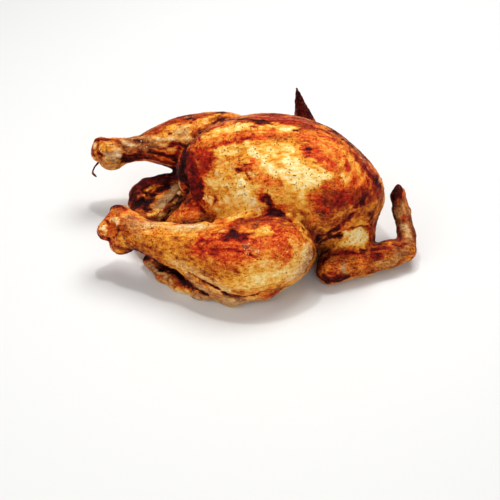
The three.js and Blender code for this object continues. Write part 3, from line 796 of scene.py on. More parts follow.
    lay("neck dark line two", MAHOGANY, 1, 1, (352, 226, 0.7), (362, 219.5, 0.9), (369, 212, 0.8)),
    lay("neck brown", MAHOGANY, 0.75, 1.6, (373, 213, 1.4), (371, 220, 2), (372, 229, 1.6)),
    lay("neck rim", OCHRE, 0.95, 3, (383, 198, 4), (381.5, 206, 6), (379, 213, 6), (376, 221, 5), (374, 229, 4)),
    lay("neck rim dark", RUSSET, 0.8, 2.4, (384, 192, 2), (382, 204, 2), (379, 215, 2), (375, 226, 1.6)),
    lay("ochre light one", GOLD, 0.85, 1.4, (333, 218, 1), (343, 212, 1.2), (351, 206, 0.8)),
    lay("ochre light two", HONEY, 0.85, 1.4, (340, 231, 1), (352, 223, 1.4), (366, 217, 1.2)),
    lay("ochre light three", GOLD, 0.7, 1.6, (318, 217, 1), (318, 226, 1.4), (328, 229, 1)),
    lay("flank light", ORANGE, 0.85, 2, (310, 206, 2), (312, 214, 2.6), (314, 222, 2)),
    lay("ochre dark one", RUSSET, 0.9, 1.2, (322, 224, 0.9), (328, 218, 1), (336, 212, 0.8)),
    lay("shoulder crease", MAHOGANY, 1, 1.2, (318, 238, 1.6), (327, 235, 1.5), (336, 229, 1.2), (345, 221, 0.9),
        (353, 214, 0.8)),
    lay("breast lower edge", BURNT_AND_SHADOW, 1, 1, (319, 244, 1.4), (326, 240, 1.1), (336, 237.5, 0.8), (345, 234, 0.6),
        (356, 229, 0.6), (368, 226, 0.6)),
    lay("thigh crease", RUSSET, 0.9, 1.3, (306, 223, 0.4), (311, 230, 0.5), (315, 236, 0.8), (317, 243, 1.2)),
    lay("flank ground", ORANGE, 0.9, 3, (176, 214, 4), (192, 210, 7)),
    lay("flank flame", FLAME, 0.8, 2.5, (178, 214, 1.4), (187, 209, 2.6), (195, 204, 2)),
    lay("flank border", MAROON, 0.85, 1.2, (190, 194, 1), (197, 203, 1), (204, 212, 0.9), (209, 221, 0.8)),
    lay("flank shadow", BURNT_AND_SHADOW, 1, 1.3, (184, 178, 2.2), (187, 188, 2.2), (184, 198, 1.2), (178, 207, 0.7)),
)
NEAR_LEG_STROKES = (
    lay("leg ground", HONEY, 0.85, 10, (150, 240, 12), (200, 250, 16), (270, 260, 22)),
    lay("thigh ground", ORANGE, 0.95, 6, (200, 246, 8), (230, 247, 14), (262, 245, 14), (288, 246, 12)),
    lay("leg lower ground", HONEY, 0.85, 5, (175, 260, 4), (200, 272, 6), (224, 280, 6)),
    lay("leg lower gold", GOLD, 1, 5, (232, 272, 5), (256, 276, 11), (282, 270, 11), (296, 258, 5)),
    lay("leg cream", STRAW, 0.9, 4, (240, 283, 3), (255, 280, 5), (270, 276, 6), (284, 270, 4)),
    lay("leg cream heart", CREAM, 0.6, 4, (250, 280, 3), (264, 279, 4), (276, 276, 3)),
    lay("beige heel", SAND, 0.9, 3, (172, 261, 2), (182, 264, 3), (194, 271, 4), (208, 280, 4.4), (224, 289, 3.8),
        (236, 291, 2)),
    lay("heel grey", SHEET, 0.75, 2, (188, 276, 1.6), (196, 284, 2.4), (208, 291, 2.6), (220, 295, 1.6)),
    lay("heel pallor", FLESH, 0.6, 1.6, (190, 281, 1.2), (200, 288, 1.6), (212, 294, 1.4)),
    lay("thigh right peach", BONE, 0.9, 3, (307, 246, 2.4), (305, 258, 4), (298, 271, 4.4), (288, 280, 3.4)),
    lay("membrane edge", FLESH, 0.85, 1.8, (309, 248, 1.6), (309, 258, 2.4), (304, 269, 3.4), (297, 277, 2.4)),
    lay("orange flank", APRICOT, 0.9, 2.6, (222, 264, 3), (238, 264, 4), (254, 263, 4), (270, 262, 4), (284, 262, 3)),
    lay("flame field", FLAME, 0.9, 5, (190, 249, 3), (204, 250, 6), (222, 252, 8), (238, 257, 6)),
    lay("flame field heart", RED, 0.75, 3, (196, 250, 2), (206, 252, 3.6), (220, 255, 3.6), (230, 257, 1.6)),
    lay("upper flame", FLAME, 0.9, 3, (202, 242, 2), (222, 241, 3), (240, 244, 3.4), (262, 244, 3.4)),
    lay("upper red", RED, 0.5, 2.4, (212, 240, 1.6), (228, 243, 2), (244, 240, 2), (262, 240, 1.8)),
    lay("flame column", FLAME, 0.9, 5, (270, 227, 4), (277, 240, 6), (284, 254, 5)),
    lay("gold arc", APRICOT, 1, 1.8, (291, 238, 2.2), (294, 246, 3.4), (295, 254, 3)),
    lay("gold corner", GOLD, 0.9, 1.6, (288, 223, 1.6), (296, 226, 2.4), (303, 233, 2.6), (309, 241, 1.8)),
    lay("thigh right flame", FLAME, 0.8, 1.4, (289, 229, 1), (296, 236, 1.4), (301, 245, 1)),
    lay("crimson top", RUSSET, 0.9, 2, (244, 221, 2), (258, 221, 2.6), (276, 220, 2.6)),
    lay("crimson top left", RUSSET, 0.85, 1.6, (232, 226, 1.2), (240, 227, 1.8), (248, 226, 1.4)),
    lay("top peach line", OCHRE, 0.9, 1, (212, 226, 0.8), (222, 227, 1), (262, 226, 0.8)),
    lay("gold window", GOLD, 1, 1.5, (251, 233, 2.6), (260, 232, 3.4), (269, 231, 3)),
    lay("window pallor", STRAW, 0.9, 1.2, (265, 230, 1), (269, 231, 0.8)),
    lay("orange window", FLAME, 1, 1.2, (236, 244, 1), (226, 244, 1), (217, 243, 1.2)),
    lay("scorch ground", MAROON, 1, 1.6, (208, 238, 1.4), (222, 236, 2.6), (238, 236, 3), (252, 238, 1.6)),
    lay("scorch band", MAHOGANY, 1, 1.2, (218, 237, 1.3), (226, 237, 1.3), (234, 234, 2), (242, 235, 1.2)),
    lay("scorch core", MAHOGANY, 1, 1.1, (232, 231, 1.7), (237, 232, 1.8)),
    lay("scorch gleam", MEMBRANE_AND_GLINT, 0.6, 1.2, (222, 231, 1), (226, 233, 0.8)),
    lay("scorch start", MAROON, 1, 1.3, (196, 245, 1.4), (202, 242, 2.2), (208, 240, 2), (207, 245, 1.2)),
    lay("red tear", MAROON, 1, 1.2, (188, 248, 0.5), (204, 247, 0.9), (220, 249.5, 1.2), (236, 251, 1.4),
        (250, 254, 1.6)),
    lay("tear fork", MAROON, 1, 1, (244, 251, 0.8), (252, 256, 1), (259, 257, 0.8)),
    # painted sheen and a painted white highlight on the thigh
    lay("mauve painted sheen", SMOKE, 0.5, 1.8, (245, 246, 1.2), (252, 248, 1.4)),
    lay("white painted highlight", MEMBRANE_AND_GLINT, 0.9, 1, (255, 251, 0.9), (259, 250, 0.8)),
    lay("thigh blister", MAROON, 1, 1.2, (289, 221, 1.2), (292, 224, 0.9)),
    lay("freckle ground", OCHRE, 0.6, 3, (208, 267, 3), (220, 270, 4), (234, 270, 4)),
    lay("freckles", RUSSET, 1, 1.2, (212, 268, 1.2), (216, 272, 1.2)),
    lay("freckles middle", RUSSET, 1, 1.2, (226, 268, 1.3), (233, 267, 1.4), (238, 271, 1.2)),
    lay("freckles down", OCHRE, 0.8, 1.2, (224, 276, 0.8), (231, 280, 0.9)),
    lay("freckles low", RUSSET, 0.85, 1.1, (242, 284, 1.2), (247, 285, 1.2)),
    lay("leg foot brown", UMBER, 0.8, 1.8, (256, 293, 1.6), (266, 292, 2), (276, 289, 2), (286, 285, 1.4)),
    lay("leg foot orange", OCHRE, 0.8, 1.4, (234, 291, 1.6), (244, 292, 1.8)),
    lay("pale shin ridge", SAND, 1, 2, (146, 226, 2), (162, 227, 2.4), (184, 229, 3), (200, 228, 3), (214, 227, 1.4)),
    lay("pale shin heart", MEMBRANE_AND_GLINT, 0.6, 1.2, (178, 226, 0.9), (190, 226, 1.4), (202, 226, 1.2)),
    lay("ridge flecks", BROWN, 0.8, 1, (184, 232, 0.8), (196, 233, 0.9), (207, 234, 0.9)),
    lay("shin gold", GOLD, 0.8, 2, (172, 235, 2), (186, 236, 2.4), (196, 234, 1.6)),
    lay("amber shin", HONEY, 1, 3, (132, 240, 4.4), (150, 244, 6), (172, 245, 6)),
    lay("shin under", BROWN, 0.7, 2.4, (130, 246, 1.6), (144, 247, 2.4), (160, 251, 2)),
    lay("amber flame", OCHRE, 0.7, 2.4, (176, 240, 2), (190, 242, 2.4), (186, 252, 2)),
    lay("ankle", TAN, 0.8, 4, (126, 218, 2), (133, 226, 3.4), (138, 233, 2)),
    lay("ankle pallor", MEMBRANE_AND_GLINT, 0.4, 2, (132, 218, 1.6), (140, 224, 2), (148, 230, 2.4), (146, 224, 2)),
    lay("shin smoke", SMOKE, 0.6, 1.6, (148, 222, 1), (156, 223, 1)),
    lay("flap shadow", MAHOGANY, 1, 1, (190, 273, 0.8), (200, 279, 1), (210, 284, 1.1), (219, 289, 0.9)),
    lay("flap fold two", BROWN, 0.9, 0.9, (176, 258, 0.9), (188, 259, 1.1), (203, 262, 0.9)),
    lay("flap fold three", BROWN, 0.7, 0.9, (182, 264, 0.8), (194, 268, 0.8), (212, 274, 0.9)),
    lay("flap fold four", BROWN, 0.8, 0.9, (190, 268, 0.8), (203, 274, 0.9), (214, 279, 0.8)),
    lay("under edge", BURNT_AND_SHADOW, 1, 1, (222, 293, 0.8), (232, 296.5, 1.3), (242, 297.5, 1.5), (252, 296, 1.2),
        (262, 292.5, 0.7)),
    lay("knuckle ground", ORANGE, 0.8, 4, (113, 213, 6), (110, 228, 5), (114, 240, 6)),
    lay("knuckle dark bulb", MAHOGANY, 0.95, 2, (109, 209, 2), (116, 206, 2.4), (124, 209, 1.4)),
    lay("bulb gleam", SMOKE, 0.6, 1, (116, 210, 1), (119, 211, 0.8)),
    lay("knuckle flame", ORANGE, 0.9, 1.6, (109, 216, 2), (117, 215, 1.6)),
    lay("knuckle gleam top", BONE, 1, 1.3, (112, 220, 2.2), (117, 222, 2)),
    lay("knuckle amber left", ORANGE, 0.9, 2, (100, 230, 4)),
    lay("knuckle gleam left", BONE, 1, 1.4, (103, 229, 2.4), (106, 231, 1.6)),
    lay("knuckle pit", MAHOGANY, 0.9, 1.3, (117, 228, 1), (118, 234, 0.9), (113, 238, 0.9)),
    lay("knuckle split", MAROON, 0.9, 1, (105, 219, 0.6), (109, 224, 0.7), (110, 231, 0.7), (106, 237, 0.7)),
    lay("knuckle lower rim", MAHOGANY, 0.8, 1.4, (103, 236, 0.8), (108, 239.5, 1), (113, 245, 0.8)),
    lay("knuckle skin end", BROWN, 0.8, 2.4, (114, 246, 3), (122, 248, 2.4)),
    lay("knuckle skin gold", GOLD, 0.8, 2.2, (121, 240, 2.4), (126, 246, 2)),
)
FAR_LEG_STROKES = (
    lay("far thigh ground", HONEY, 0.9, 5, (155, 135, 6), (180, 128, 12), (205, 120, 8)),
    lay("far thigh flame", APRICOT, 0.7, 3, (178, 122, 2.4), (192, 126, 5), (204, 119, 4)),
    lay("far thigh gold", GOLD, 0.95, 2.6, (150, 136, 2), (158, 133, 3), (168, 129, 3.4), (178, 126, 2.4)),
    lay("far thigh cream", SAND, 1, 2, (172, 137, 3.4), (181, 132, 5), (186, 138, 4.4)),
    lay("far thigh pale", SAND, 0.8, 1.6, (178, 128, 1.4), (182, 133, 2), (186, 139, 2)),
    lay("far thigh amber end", STRAW, 0.8, 1.8, (202, 122, 1.4), (212, 117, 1.4), (220, 114, 1)),
    lay("far thigh russet", RUSSET, 0.75, 2.4, (134, 138, 1.4), (150, 134, 2), (160, 129, 2.4), (170, 124, 3),
        (181, 120, 4), (193, 117, 4), (206, 115, 2.4)),
    lay("far thigh edge", RUSSET, 0.9, 1.6, (150, 132.5, 1), (158, 128, 1.4), (168, 122.5, 1.6), (180, 117.5, 1.6),
        (192, 115, 1.4), (204, 114, 1)),
    lay("far thigh scorch", MAHOGANY, 0.95, 1.2, (184, 119, 1), (190, 119, 1.4), (195, 120, 0.9), (191, 123, 0.9)),
    lay("far thigh glint", MEMBRANE_AND_GLINT, 0.8, 0.8, (188, 117, 0.5), (191, 116, 0.5)),
    lay("far thigh freckle", MAROON, 1, 0.9, (170, 134, 1.1), (172, 136, 1.3)),
    lay("far thigh fleck", MAHOGANY, 1, 0.9, (193, 131, 1.2)),
    lay("far thigh root", MAROON, 1, 1.8, (160, 148, 1.4), (170, 146, 2.2), (180, 147, 2.6), (176, 152, 2.4)),
    lay("far shank ground", UMBER, 1, 3, (124, 146, 5), (140, 144, 5), (156, 144, 3)),
    lay("far shank tan", TAN, 0.9, 1.8, (140, 138.5, 1.6), (150, 139, 2.2), (158, 142, 2.2), (166, 144, 1.6)),
    lay("far shank purple", MAHOGANY, 1, 1.2, (134, 142, 1.2), (141, 142, 1.4), (147, 144, 1)),
    # far tendons: the tendons' own pale colour, with painted highlight in their whitest parts
    lay("far tendon one", MEMBRANE_AND_GLINT, 0.95, 1.1, (156, 139.5, 0.9), (164, 139.5, 1.2), (174, 140, 1)),
    lay("far tendon grey", FLESH, 0.8, 1.5, (122, 141, 2), (128, 144, 2.2), (136, 146, 1.4), (146, 146, 0.9)),
    lay("far tendon two", MEMBRANE_AND_GLINT, 0.85, 1, (124, 142, 0.9), (128, 145, 1.1), (133, 146, 1), (140, 146, 0.5)),
    lay("far shank top", TAN, 0.9, 1.6, (122, 140, 1.6), (132, 139, 1.8), (142, 137.5, 1.6)),
    lay("far shank under", MAHOGANY, 1, 2, (125, 154, 2.4), (126, 160, 3.4), (136, 157, 3.2), (140, 152, 2.4)),
    lay("far shank brown", MAHOGANY, 0.75, 1.8, (140, 158, 1.6), (148, 157, 2), (160, 160, 1.6), (172, 163, 1.6)),
    lay("far shank bare", BROWN, 0.85, 1.4, (146, 154, 1.4), (156, 153, 1.8), (160, 157, 1.2)),
    lay("far shank maroon", MAHOGANY, 1, 1.8, (150, 150, 1), (162, 153, 2.2), (172, 156, 2.6), (177, 160, 2.4)),
    lay("far hock", HONEY, 0.9, 3, (97, 147, 5), (99, 157, 5), (108, 148, 6)),
    lay("far hock flame", OCHRE, 0.8, 2.2, (116, 146, 2.4), (122, 149, 1.6), (98, 160, 2.4)),
    lay("far hock sand", SAND, 0.8, 2, (108, 144, 2), (114, 147, 3), (118, 150, 2)),
    lay("far hock top", MAHOGANY, 0.95, 1.2, (95, 141, 0.9), (104, 139, 1.3), (110, 140, 1)),
    lay("far hock side", MAHOGANY, 0.9, 1.1, (93, 150, 0.7), (94, 156, 0.9), (96, 161, 0.9)),
    lay("far gleam one", BONE, 1, 1, (95, 145, 1), (95, 149, 1.4)),
    lay("far gleam two", BONE, 1, 1.1, (101, 145, 1), (101, 149, 1.5), (102, 152, 1)),
    lay("far hock crease", MAROON, 1, 0.9, (98, 142, 0.8), (97, 148, 0.9), (99, 154, 1), (103, 156, 0.9)),
    lay("far hock crease two", RUSSET, 0.95, 0.9, (105, 145, 0.7), (104, 151, 0.7), (106, 155, 0.6)),
    lay("far skin end", FLESH, 0.95, 1.8, (107, 157, 2.8), (114, 158, 3.9), (120, 154, 3)),
    lay("far skin gleam", MEMBRANE_AND_GLINT, 0.95, 1.1, (109, 157, 1.2), (115, 159, 1), (121, 155, 1)),
    lay("far skin crease", MAHOGANY, 1, 1, (125, 150, 0.7), (125, 158, 0.9), (121, 165, 0.8)),
    lay("far skin gold", TAN, 0.9, 1.5, (102, 164, 1.4), (110, 167, 1.6), (118, 165, 1.2)),
    lay("far olive knob", BROWN, 0.9, 1.3, (111, 142, 1.8), (118, 142, 1.8)),
)
TAIL_STROKES = (
    lay("tail ground", MAHOGANY, 1, 3, (178, 172, 6), (160, 176, 6), (145, 184, 6), (136, 196, 6), (134, 206, 5)),
    lay("tail rust", RUSSET, 0.95, 1.6, (166, 174, 1.4), (173, 174, 2), (175, 179, 1.4)),
    lay("tail red shoulder", MAROON, 0.75, 2.4, (170, 174, 2), (160, 177, 2.4), (148, 182, 2.4), (140, 190, 1.6)),
    lay("tail crease", STRAW, 1, 0.9, (139, 197, 0.9), (143, 192, 1.3), (149, 188.5, 1.7), (157, 187, 1.5),
        (165, 185, 0.9)),
    lay("tail crease low", GOLD, 1, 0.9, (137, 200, 0.9), (142, 197, 1.3), (148, 195, 1.3), (154, 193, 1)),
    lay("tail crease two", MAROON, 0.95, 1.2, (152, 196, 1.3), (156, 193, 1.3), (160, 190, 0.8)),
    lay("inside sheet", SHEET, 1, 1.6, (177, 187, 3), (174, 194, 5), (168, 201, 6), (161, 206, 5.4), (155, 208, 3.4)),
    lay("inside pallor", MEMBRANE_AND_GLINT, 0.5, 2.4, (176, 187, 1.2), (172, 194, 1.6), (166, 201, 1.8), (160, 208, 1.6)),
    lay("inside dark", MAHOGANY, 1, 1.6, (166, 185.5, 1.6), (160, 190, 2), (154, 196, 1.8), (150, 202, 1.6)),
    lay("pit", BURNT_AND_SHADOW, 1, 2, (138, 203, 2.4), (144, 202, 3.4), (147, 208, 3)),
    lay("pit red", MAROON, 0.7, 1.4, (139, 207, 1.2), (146, 211, 1.2), (150, 204, 1)),
    lay("inside rim", MEMBRANE_AND_GLINT, 0.95, 1, (180, 183, 0.9), (181, 190, 1), (178, 199, 1), (173, 207, 1),
        (168, 214, 1.2)),
    lay("inside rim streak", RUSSET, 0.9, 0.9, (162, 211, 0.8), (168, 207, 0.8)),
    lay("inside flap", STRAW, 1, 1.1, (148, 216, 1.2), (155, 213, 1.8), (162, 211, 1.4)),
    lay("inside flap pale", SAND, 1, 1.2, (158, 218, 2), (164, 215, 2.2)),
)
BACK_SKIN_STROKES = (
    lay("back skin", OCHRE, 0.9, 4, (145, 266, 3), (160, 276, 3), (180, 286, 3), (200, 295, 3), (230, 303, 3),
        (260, 301, 3)),
    lay("back skin brown", RUSSET, 0.8, 2, (178, 284, 1.6), (190, 287, 2), (202, 292, 1.4)),
    lay("back skin grey", FLESH, 0.8, 3, (196, 297, 3), (225, 302, 4), (250, 303, 4), (280, 297, 3)),
    lay("back skin pallor", FLESH, 0.8, 1.6, (147, 265, 2), (156, 270, 2), (164, 276, 1.6), (172, 283, 1)),
    lay("back skin straw", SAND, 0.9, 1.4, (160, 269, 1.8), (168, 277, 2)),
    lay("back skin light edge", MEMBRANE_AND_GLINT, 0.7, 1, (150, 272, 0.6), (160, 278, 0.7), (170, 284, 0.5)),
    # painted shadow: black where the near leg overhangs the back skin
    lay("painted shadow under leg", BURNT_AND_SHADOW, 1, 2, (136, 252, 1.5), (150, 258, 3), (162, 265, 3.5), (175, 273, 3), (190, 284, 2),
        (206, 293, 1)),
    lay("back skin streak", BROWN, 0.6, 1, (152, 272, 0.7), (160, 277, 0.8), (168, 281, 0.8)),
    lay("back skin tan", FLESH, 0.6, 1.8, (224, 302, 1.2), (238, 304, 1.4), (256, 302, 1.4), (270, 298, 1)),
)
WING_STROKES = (
    lay("drumette ground", HONEY, 0.9, 3, (328, 246, 5), (343, 242, 6), (360, 238, 6), (372, 236, 4)),
    lay("drumette gold", STRAW, 1, 1.8, (337, 242, 2.6), (345, 243, 4), (350, 246, 3)),
    lay("drumette cream", CREAM, 1, 1.6, (348, 234, 3), (355, 239, 7), (363, 238, 5.4), (360, 245, 4)),
    lay("drumette amber", ORANGE, 0.9, 1.2, (366, 233, 0.8), (369, 231, 1), (371, 236, 1)),
    lay("drumette spots", HONEY, 0.7, 1, (350, 236, 0.6), (353, 241, 0.7)),
    lay("drumette shadow", GOLD, 0.95, 1.6, (324, 247, 1.8), (329, 246, 2.2), (335, 249, 1.4)),
    lay("drumette fleck", BURNT_AND_SHADOW, 0.9, 0.9, (334, 246, 0.8), (335, 249, 0.6)),
    # painted shadow in the hollow where the breast overhangs the drumette
    lay("drumette hollow shadow", BURNT_AND_SHADOW, 1, 1.4, (317, 241.5, 1.4), (325, 240, 1.8), (333, 238, 1.6), (341, 235.5, 1)),
    lay("drumette ledge", MAHOGANY, 1, 1.3, (322, 238, 1.2), (328, 236.5, 1.5), (334, 235.5, 1.5), (341, 233.5, 1.1)),
    lay("drumette end", MAROON, 0.95, 1.3, (369, 231, 0.9), (369.5, 237, 1.2), (369, 241, 1.4), (373, 244, 1)),
    lay("drumette end brown", RUSSET, 0.9, 1.6, (370, 230, 1.6), (373, 236, 1.8), (375, 242, 1.4)),
    lay("drumette top line", MAHOGANY, 1, 1, (343, 231, 0.8), (352, 227.5, 0.9), (362, 226, 0.9), (371, 228, 0.9)),
    lay("forearm ground", OCHRE, 0.9, 6, (325, 266, 10), (355, 264, 9), (385, 258, 9), (405, 250, 7)),
    lay("forearm top tan", GOLD, 0.9, 1.6, (374, 244, 1), (386, 243, 1.2), (394, 244, 1)),
    lay("forearm flame", ORANGE, 0.85, 2.6, (322, 264, 3), (328, 267, 3), (352, 264, 3), (364, 265, 3)),
    lay("forearm orange", FLAME, 0.9, 1.8, (350, 249, 1.4), (356, 254, 2), (364, 259, 1.4)),
    lay("forearm honey", TAN, 0.8, 2.6, (378, 264, 3), (392, 261, 3.6), (403, 255, 3)),
    lay("forearm top line", MAROON, 0.95, 1.6, (324, 261, 1.6), (330, 256, 2.4), (337, 253, 2.8), (347, 251.5, 2.4),
        (354, 252, 1.4)),
    lay("forearm top scorch", MAHOGANY, 1, 1.2, (329, 255, 1.2), (337, 251.5, 1.8), (342, 251, 1.2)),
    lay("forearm top spot", MAHOGANY, 1, 1.1, (360, 251, 1.5), (364, 251, 1.9)),
    lay("forearm red band", MAROON, 1, 1.4, (372, 250, 1), (383, 248, 1.2), (393, 248, 1.3), (400, 247, 1.8),
        (400, 243, 2.2)),
    lay("forearm scorch", MAROON, 1, 1.6, (371, 253, 1.8), (377, 256, 2.6), (382, 257, 1.8)),
    lay("forearm scorch core", MAHOGANY, 0.9, 1.1, (376, 254, 1), (379, 258, 1.2)),
    lay("forearm mauve", RUSSET, 0.9, 1.5, (333, 263, 2.1), (341, 260, 2.1), (349, 257, 1.6), (351, 261, 1.2)),
    lay("forearm seam", RUSSET, 0.75, 1.6, (368, 251, 1.2), (367.5, 258, 1.6), (367, 265, 1.4)),
    # painted highlight: the grey-white glint on the forearm
    lay("forearm painted highlight", FLESH, 0.95, 1.3, (343, 264, 1.5), (344, 270, 1.9), (346, 273, 1.2)),
    lay("elbow dark", MAHOGANY, 1, 1.8, (318, 274, 1.2), (322, 277, 2), (329, 279.5, 3), (338, 279, 3),
        (346, 277, 2)),
    lay("elbow maroon", MAROON, 0.85, 1.5, (330, 273, 1.8), (340, 274, 1.8)),
    lay("forearm foot", BROWN, 0.7, 1.4, (352, 276, 1.2), (366, 273, 1.2), (384, 270, 1)),
    lay("forearm foot dark", MAHOGANY, 0.9, 0.9, (364, 272, 0.7), (370, 273, 0.5)),
    lay("hand ground", UMBER, 1, 4, (404, 243, 7), (404, 222, 7), (401, 204, 6)),
    lay("hand tan", TAN, 0.7, 2.4, (406, 246, 3), (409, 236, 2.4), (402, 206, 2), (398, 214, 1.6)),
    lay("hand pallor", FLESH, 0.8, 1.6, (396, 211, 1.6), (400, 209, 1.6), (399, 215, 1.4)),
    lay("hand pallor low", FLESH, 0.8, 1.8, (402, 227, 2.2), (408, 229, 2.4), (410, 237, 1.6)),
    lay("hand right edge", FLESH, 0.6, 1.4, (406, 198, 1), (409, 208, 1.2), (412, 218, 1)),
    lay("hand glint", MEMBRANE_AND_GLINT, 1, 0.9, (403, 226, 1), (407, 226, 0.9)),
    lay("hand russet", RUSSET, 0.95, 1.4, (404, 217, 2), (408, 218, 1.6), (404, 221, 1.4)),
    lay("hand dark edge", BURNT_AND_SHADOW, 1, 1, (394, 197, 1.1), (391, 203, 1), (390, 209, 0.9), (393, 216, 0.8),
        (395, 226, 0.8), (396, 238, 0.8)),
    lay("hand red side", MAROON, 0.95, 1.4, (397, 222, 0.9), (398, 232, 1.2), (399, 240, 1.6)),
    lay("hand spots", BROWN, 0.8, 1, (409, 239, 0.8), (412, 244, 0.9)),
    lay("wrist russet", RUSSET, 0.9, 1.8, (396, 244, 2), (402, 245, 2.6), (404, 240, 1.6)),
    lay("hand tip", MAHOGANY, 1, 1.8, (399, 187, 4), (399, 194, 3.6)),
    lay("hand tip black", BURNT_AND_SHADOW, 0.9, 1.4, (395, 190, 1.4), (397, 195, 1.4)),
    lay("far wing spike", MAHOGANY, 1, 5, (296, 91, 3), (299, 103, 6), (304, 112, 8), (309, 116, 5)),
    lay("far wing red", MAROON, 0.7, 2.5, (300, 106, 1.5), (302, 114, 2)),
    lay("far wing foot", MAROON, 1, 2.4, (309, 118, 3), (312.5, 118, 3.4), (313.5, 119.5, 3.4)),
)
BEAD_PATCHES: dict[str, tuple[Triple, ...]] = {
    "thigh top": ((240, 246, 2), (253, 250, 5), (264, 244, 2)),
    "thigh column": ((281, 242, 2.5), (285, 250, 2.5)),
    "near shin": ((143, 226, 3), (152, 229, 3)),
    "near knuckle bulb": ((116, 209, 2),),
    "near knuckle": ((103, 230, 1.5),),
    "far tendon": ((124, 143, 2.5), (134, 146, 2.5), (146, 145, 2)),
    "far thigh top": ((186, 116, 2), (192, 117, 2)),
    "far skin end": ((108, 157, 2), (118, 155, 2)),
    "hand": ((403, 226, 2), (408, 227, 2)),
}
ALL_STROKES = (
    BREAST_STROKES + NEAR_LEG_STROKES + FAR_LEG_STROKES + TAIL_STROKES + BACK_SKIN_STROKES + WING_STROKES
)


class PatternNoise:
    """Fractal patterns at points in millimetres, each about -1 to 1."""

    STREAK = np.array([0.22, 1.0, 1.0])
    BREAST_MIDDLE = np.array([15.0, -8.0])
    PRIMES = np.array([73856093, 19349663, 83492791])
    CORNERS = [np.array((a, b, c)) for a in (0, 1) for b in (0, 1) for c in (0, 1)]

    @classmethod
    def _lattice(cls, cells: Array, seed: int) -> Array:
        """Return a fixed random value from -1 to 1 for each whole-numbered cell."""
        mixed = (cells * cls.PRIMES).sum(axis=1) + seed * 7919
        mixed = (mixed ^ (mixed >> 13)) * 1274126177
        mixed = (mixed ^ (mixed >> 15)) * 668265263
        return ((mixed >> 8) & 0xFFFF) / 32767.5 - 1

    @classmethod
    def blotch(cls, points: Array, size: float, seed: int, octaves: int = 3) -> Array:
        """Return even blotches of a size in mm."""
        total = np.zeros(len(points))
        for octave in range(octaves):
            scaled = points * (2.1**octave / size) + 31.7 * (octave + seed)
            base = np.floor(scaled)
            part = scaled - base
            part = part * part * (3 - 2 * part)
            cells = base.astype(np.int64)
            for corner in cls.CORNERS:
                weight = np.where(corner, part, 1 - part).prod(axis=1)
                total += weight * cls._lattice(cells + corner, seed + octave) * 0.55**octave
        return total

    @classmethod
    def streak(cls, points: Array, size: float, seed: int, octaves: int = 3) -> Array:
        """Return streaks of a width in mm that run along the bird, and round it at the neck end."""
        swirl, share = cls.swirl(points)
        along = cls.blotch(points * cls.STREAK, size, seed, octaves)
        return along + (cls.blotch(swirl, size, seed, octaves) - along) * share

    @classmethod
    def swirl(cls, points: Array) -> tuple[Array, Array]:
        """Return places in which streaks run round the breast's middle, and how far they do so."""
        reach = points[:, :2] - cls.BREAST_MIDDLE
        radius = np.linalg.norm(reach, axis=1)
        turn = np.arctan2(reach[:, 1], reach[:, 0])
        places = np.column_stack([radius, turn * 60.0 * cls.STREAK[0], points[:, 2] * 0.45])
        return places, soft_step(38.0, 62.0, reach[:, 0]) * soft_step(24.0, 36.0, points[:, 2])

    @classmethod
    def warp(cls, points: Array, size: float, seed: int) -> Array:
        """Return a wandering offset for each point, one column for each axis."""
        return np.stack([cls.blotch(points, size, seed + 17 * axis, 2) for axis in range(3)], axis=1)


def soft_step(low: float, high: float, value: Array) -> Array:
    """Rise smoothly from 0 at low to 1 at high."""
    share = np.clip((value - low) / (high - low), 0, 1)
    return share * share * (3 - 2 * share)


@dataclass
class Tracer:
    """Lays paths that are read in the picture onto the skin."""

    form: BirdForm
    picture: PictureFrame
    step: float = 4.0

    def trace_all(self, paths: Sequence[tuple[Triple, ...]]) -> list[Array]:
        """Return the places of paths on the skin.

        Args:
            paths: rows of picture points, each (x, y, radius in mm).

        Returns:
            For each path, rows (x, y, z, radius) in mm, a few pixels apart.
        """
        spaced = [self._spaced(np.array(path, float)) for path in paths]
        together = np.concatenate(spaced)
        landed = np.column_stack([self.picture.land(self.form, together[:, :2]), together[:, 2]])
        return np.split(landed, np.cumsum([len(rows) for rows in spaced])[:-1])

    def _spaced(self, spots: Array) -> Array:
        """Return the path with points added between its own, a few pixels apart."""
        rows = [spots[:1]]
        for start, end in zip(spots[:-1], spots[1:]):
            count = max(1, math.ceil(np.linalg.norm((end - start)[:2]) / self.step))
            share = np.linspace(0, 1, count + 1)[1:, None]
            rows.append(start + (end - start) * share)
        return np.concatenate(rows)

    @staticmethod
    def gap(points: Array, knots: Array, reach: float) -> tuple[Array, Array]:
        """Measure how far points lie from a traced path.

        Args:
            points: places in mm.
            knots: a path's rows that trace_all() returned.
            reach: farthest distance that matters, mm.

        Returns:
            The numbers of the points within reach, and their distances to the path's edge.
        """
        low = (knots[:, :3] - knots[:, 3:]).min(axis=0) - reach
        high = (knots[:, :3] + knots[:, 3:]).max(axis=0) + reach
        close = np.flatnonzero(np.all((points > low) & (points < high), axis=1))
        near = points[close]
        best = np.linalg.norm(near - knots[0, :3], axis=1) - knots[0, 3]
        for start, end in zip(knots[:-1], knots[1:]):
            axis = end[:3] - start[:3]
            share = np.clip((near - start[:3]) @ axis / max(float(axis @ axis), TINY), 0, 1)
            middle = start[:3] + share[:, None] * axis
            radius = start[3] + share * (end[3] - start[3])
            best = np.minimum(best, np.linalg.norm(near - middle, axis=1) - radius)
        return close, best


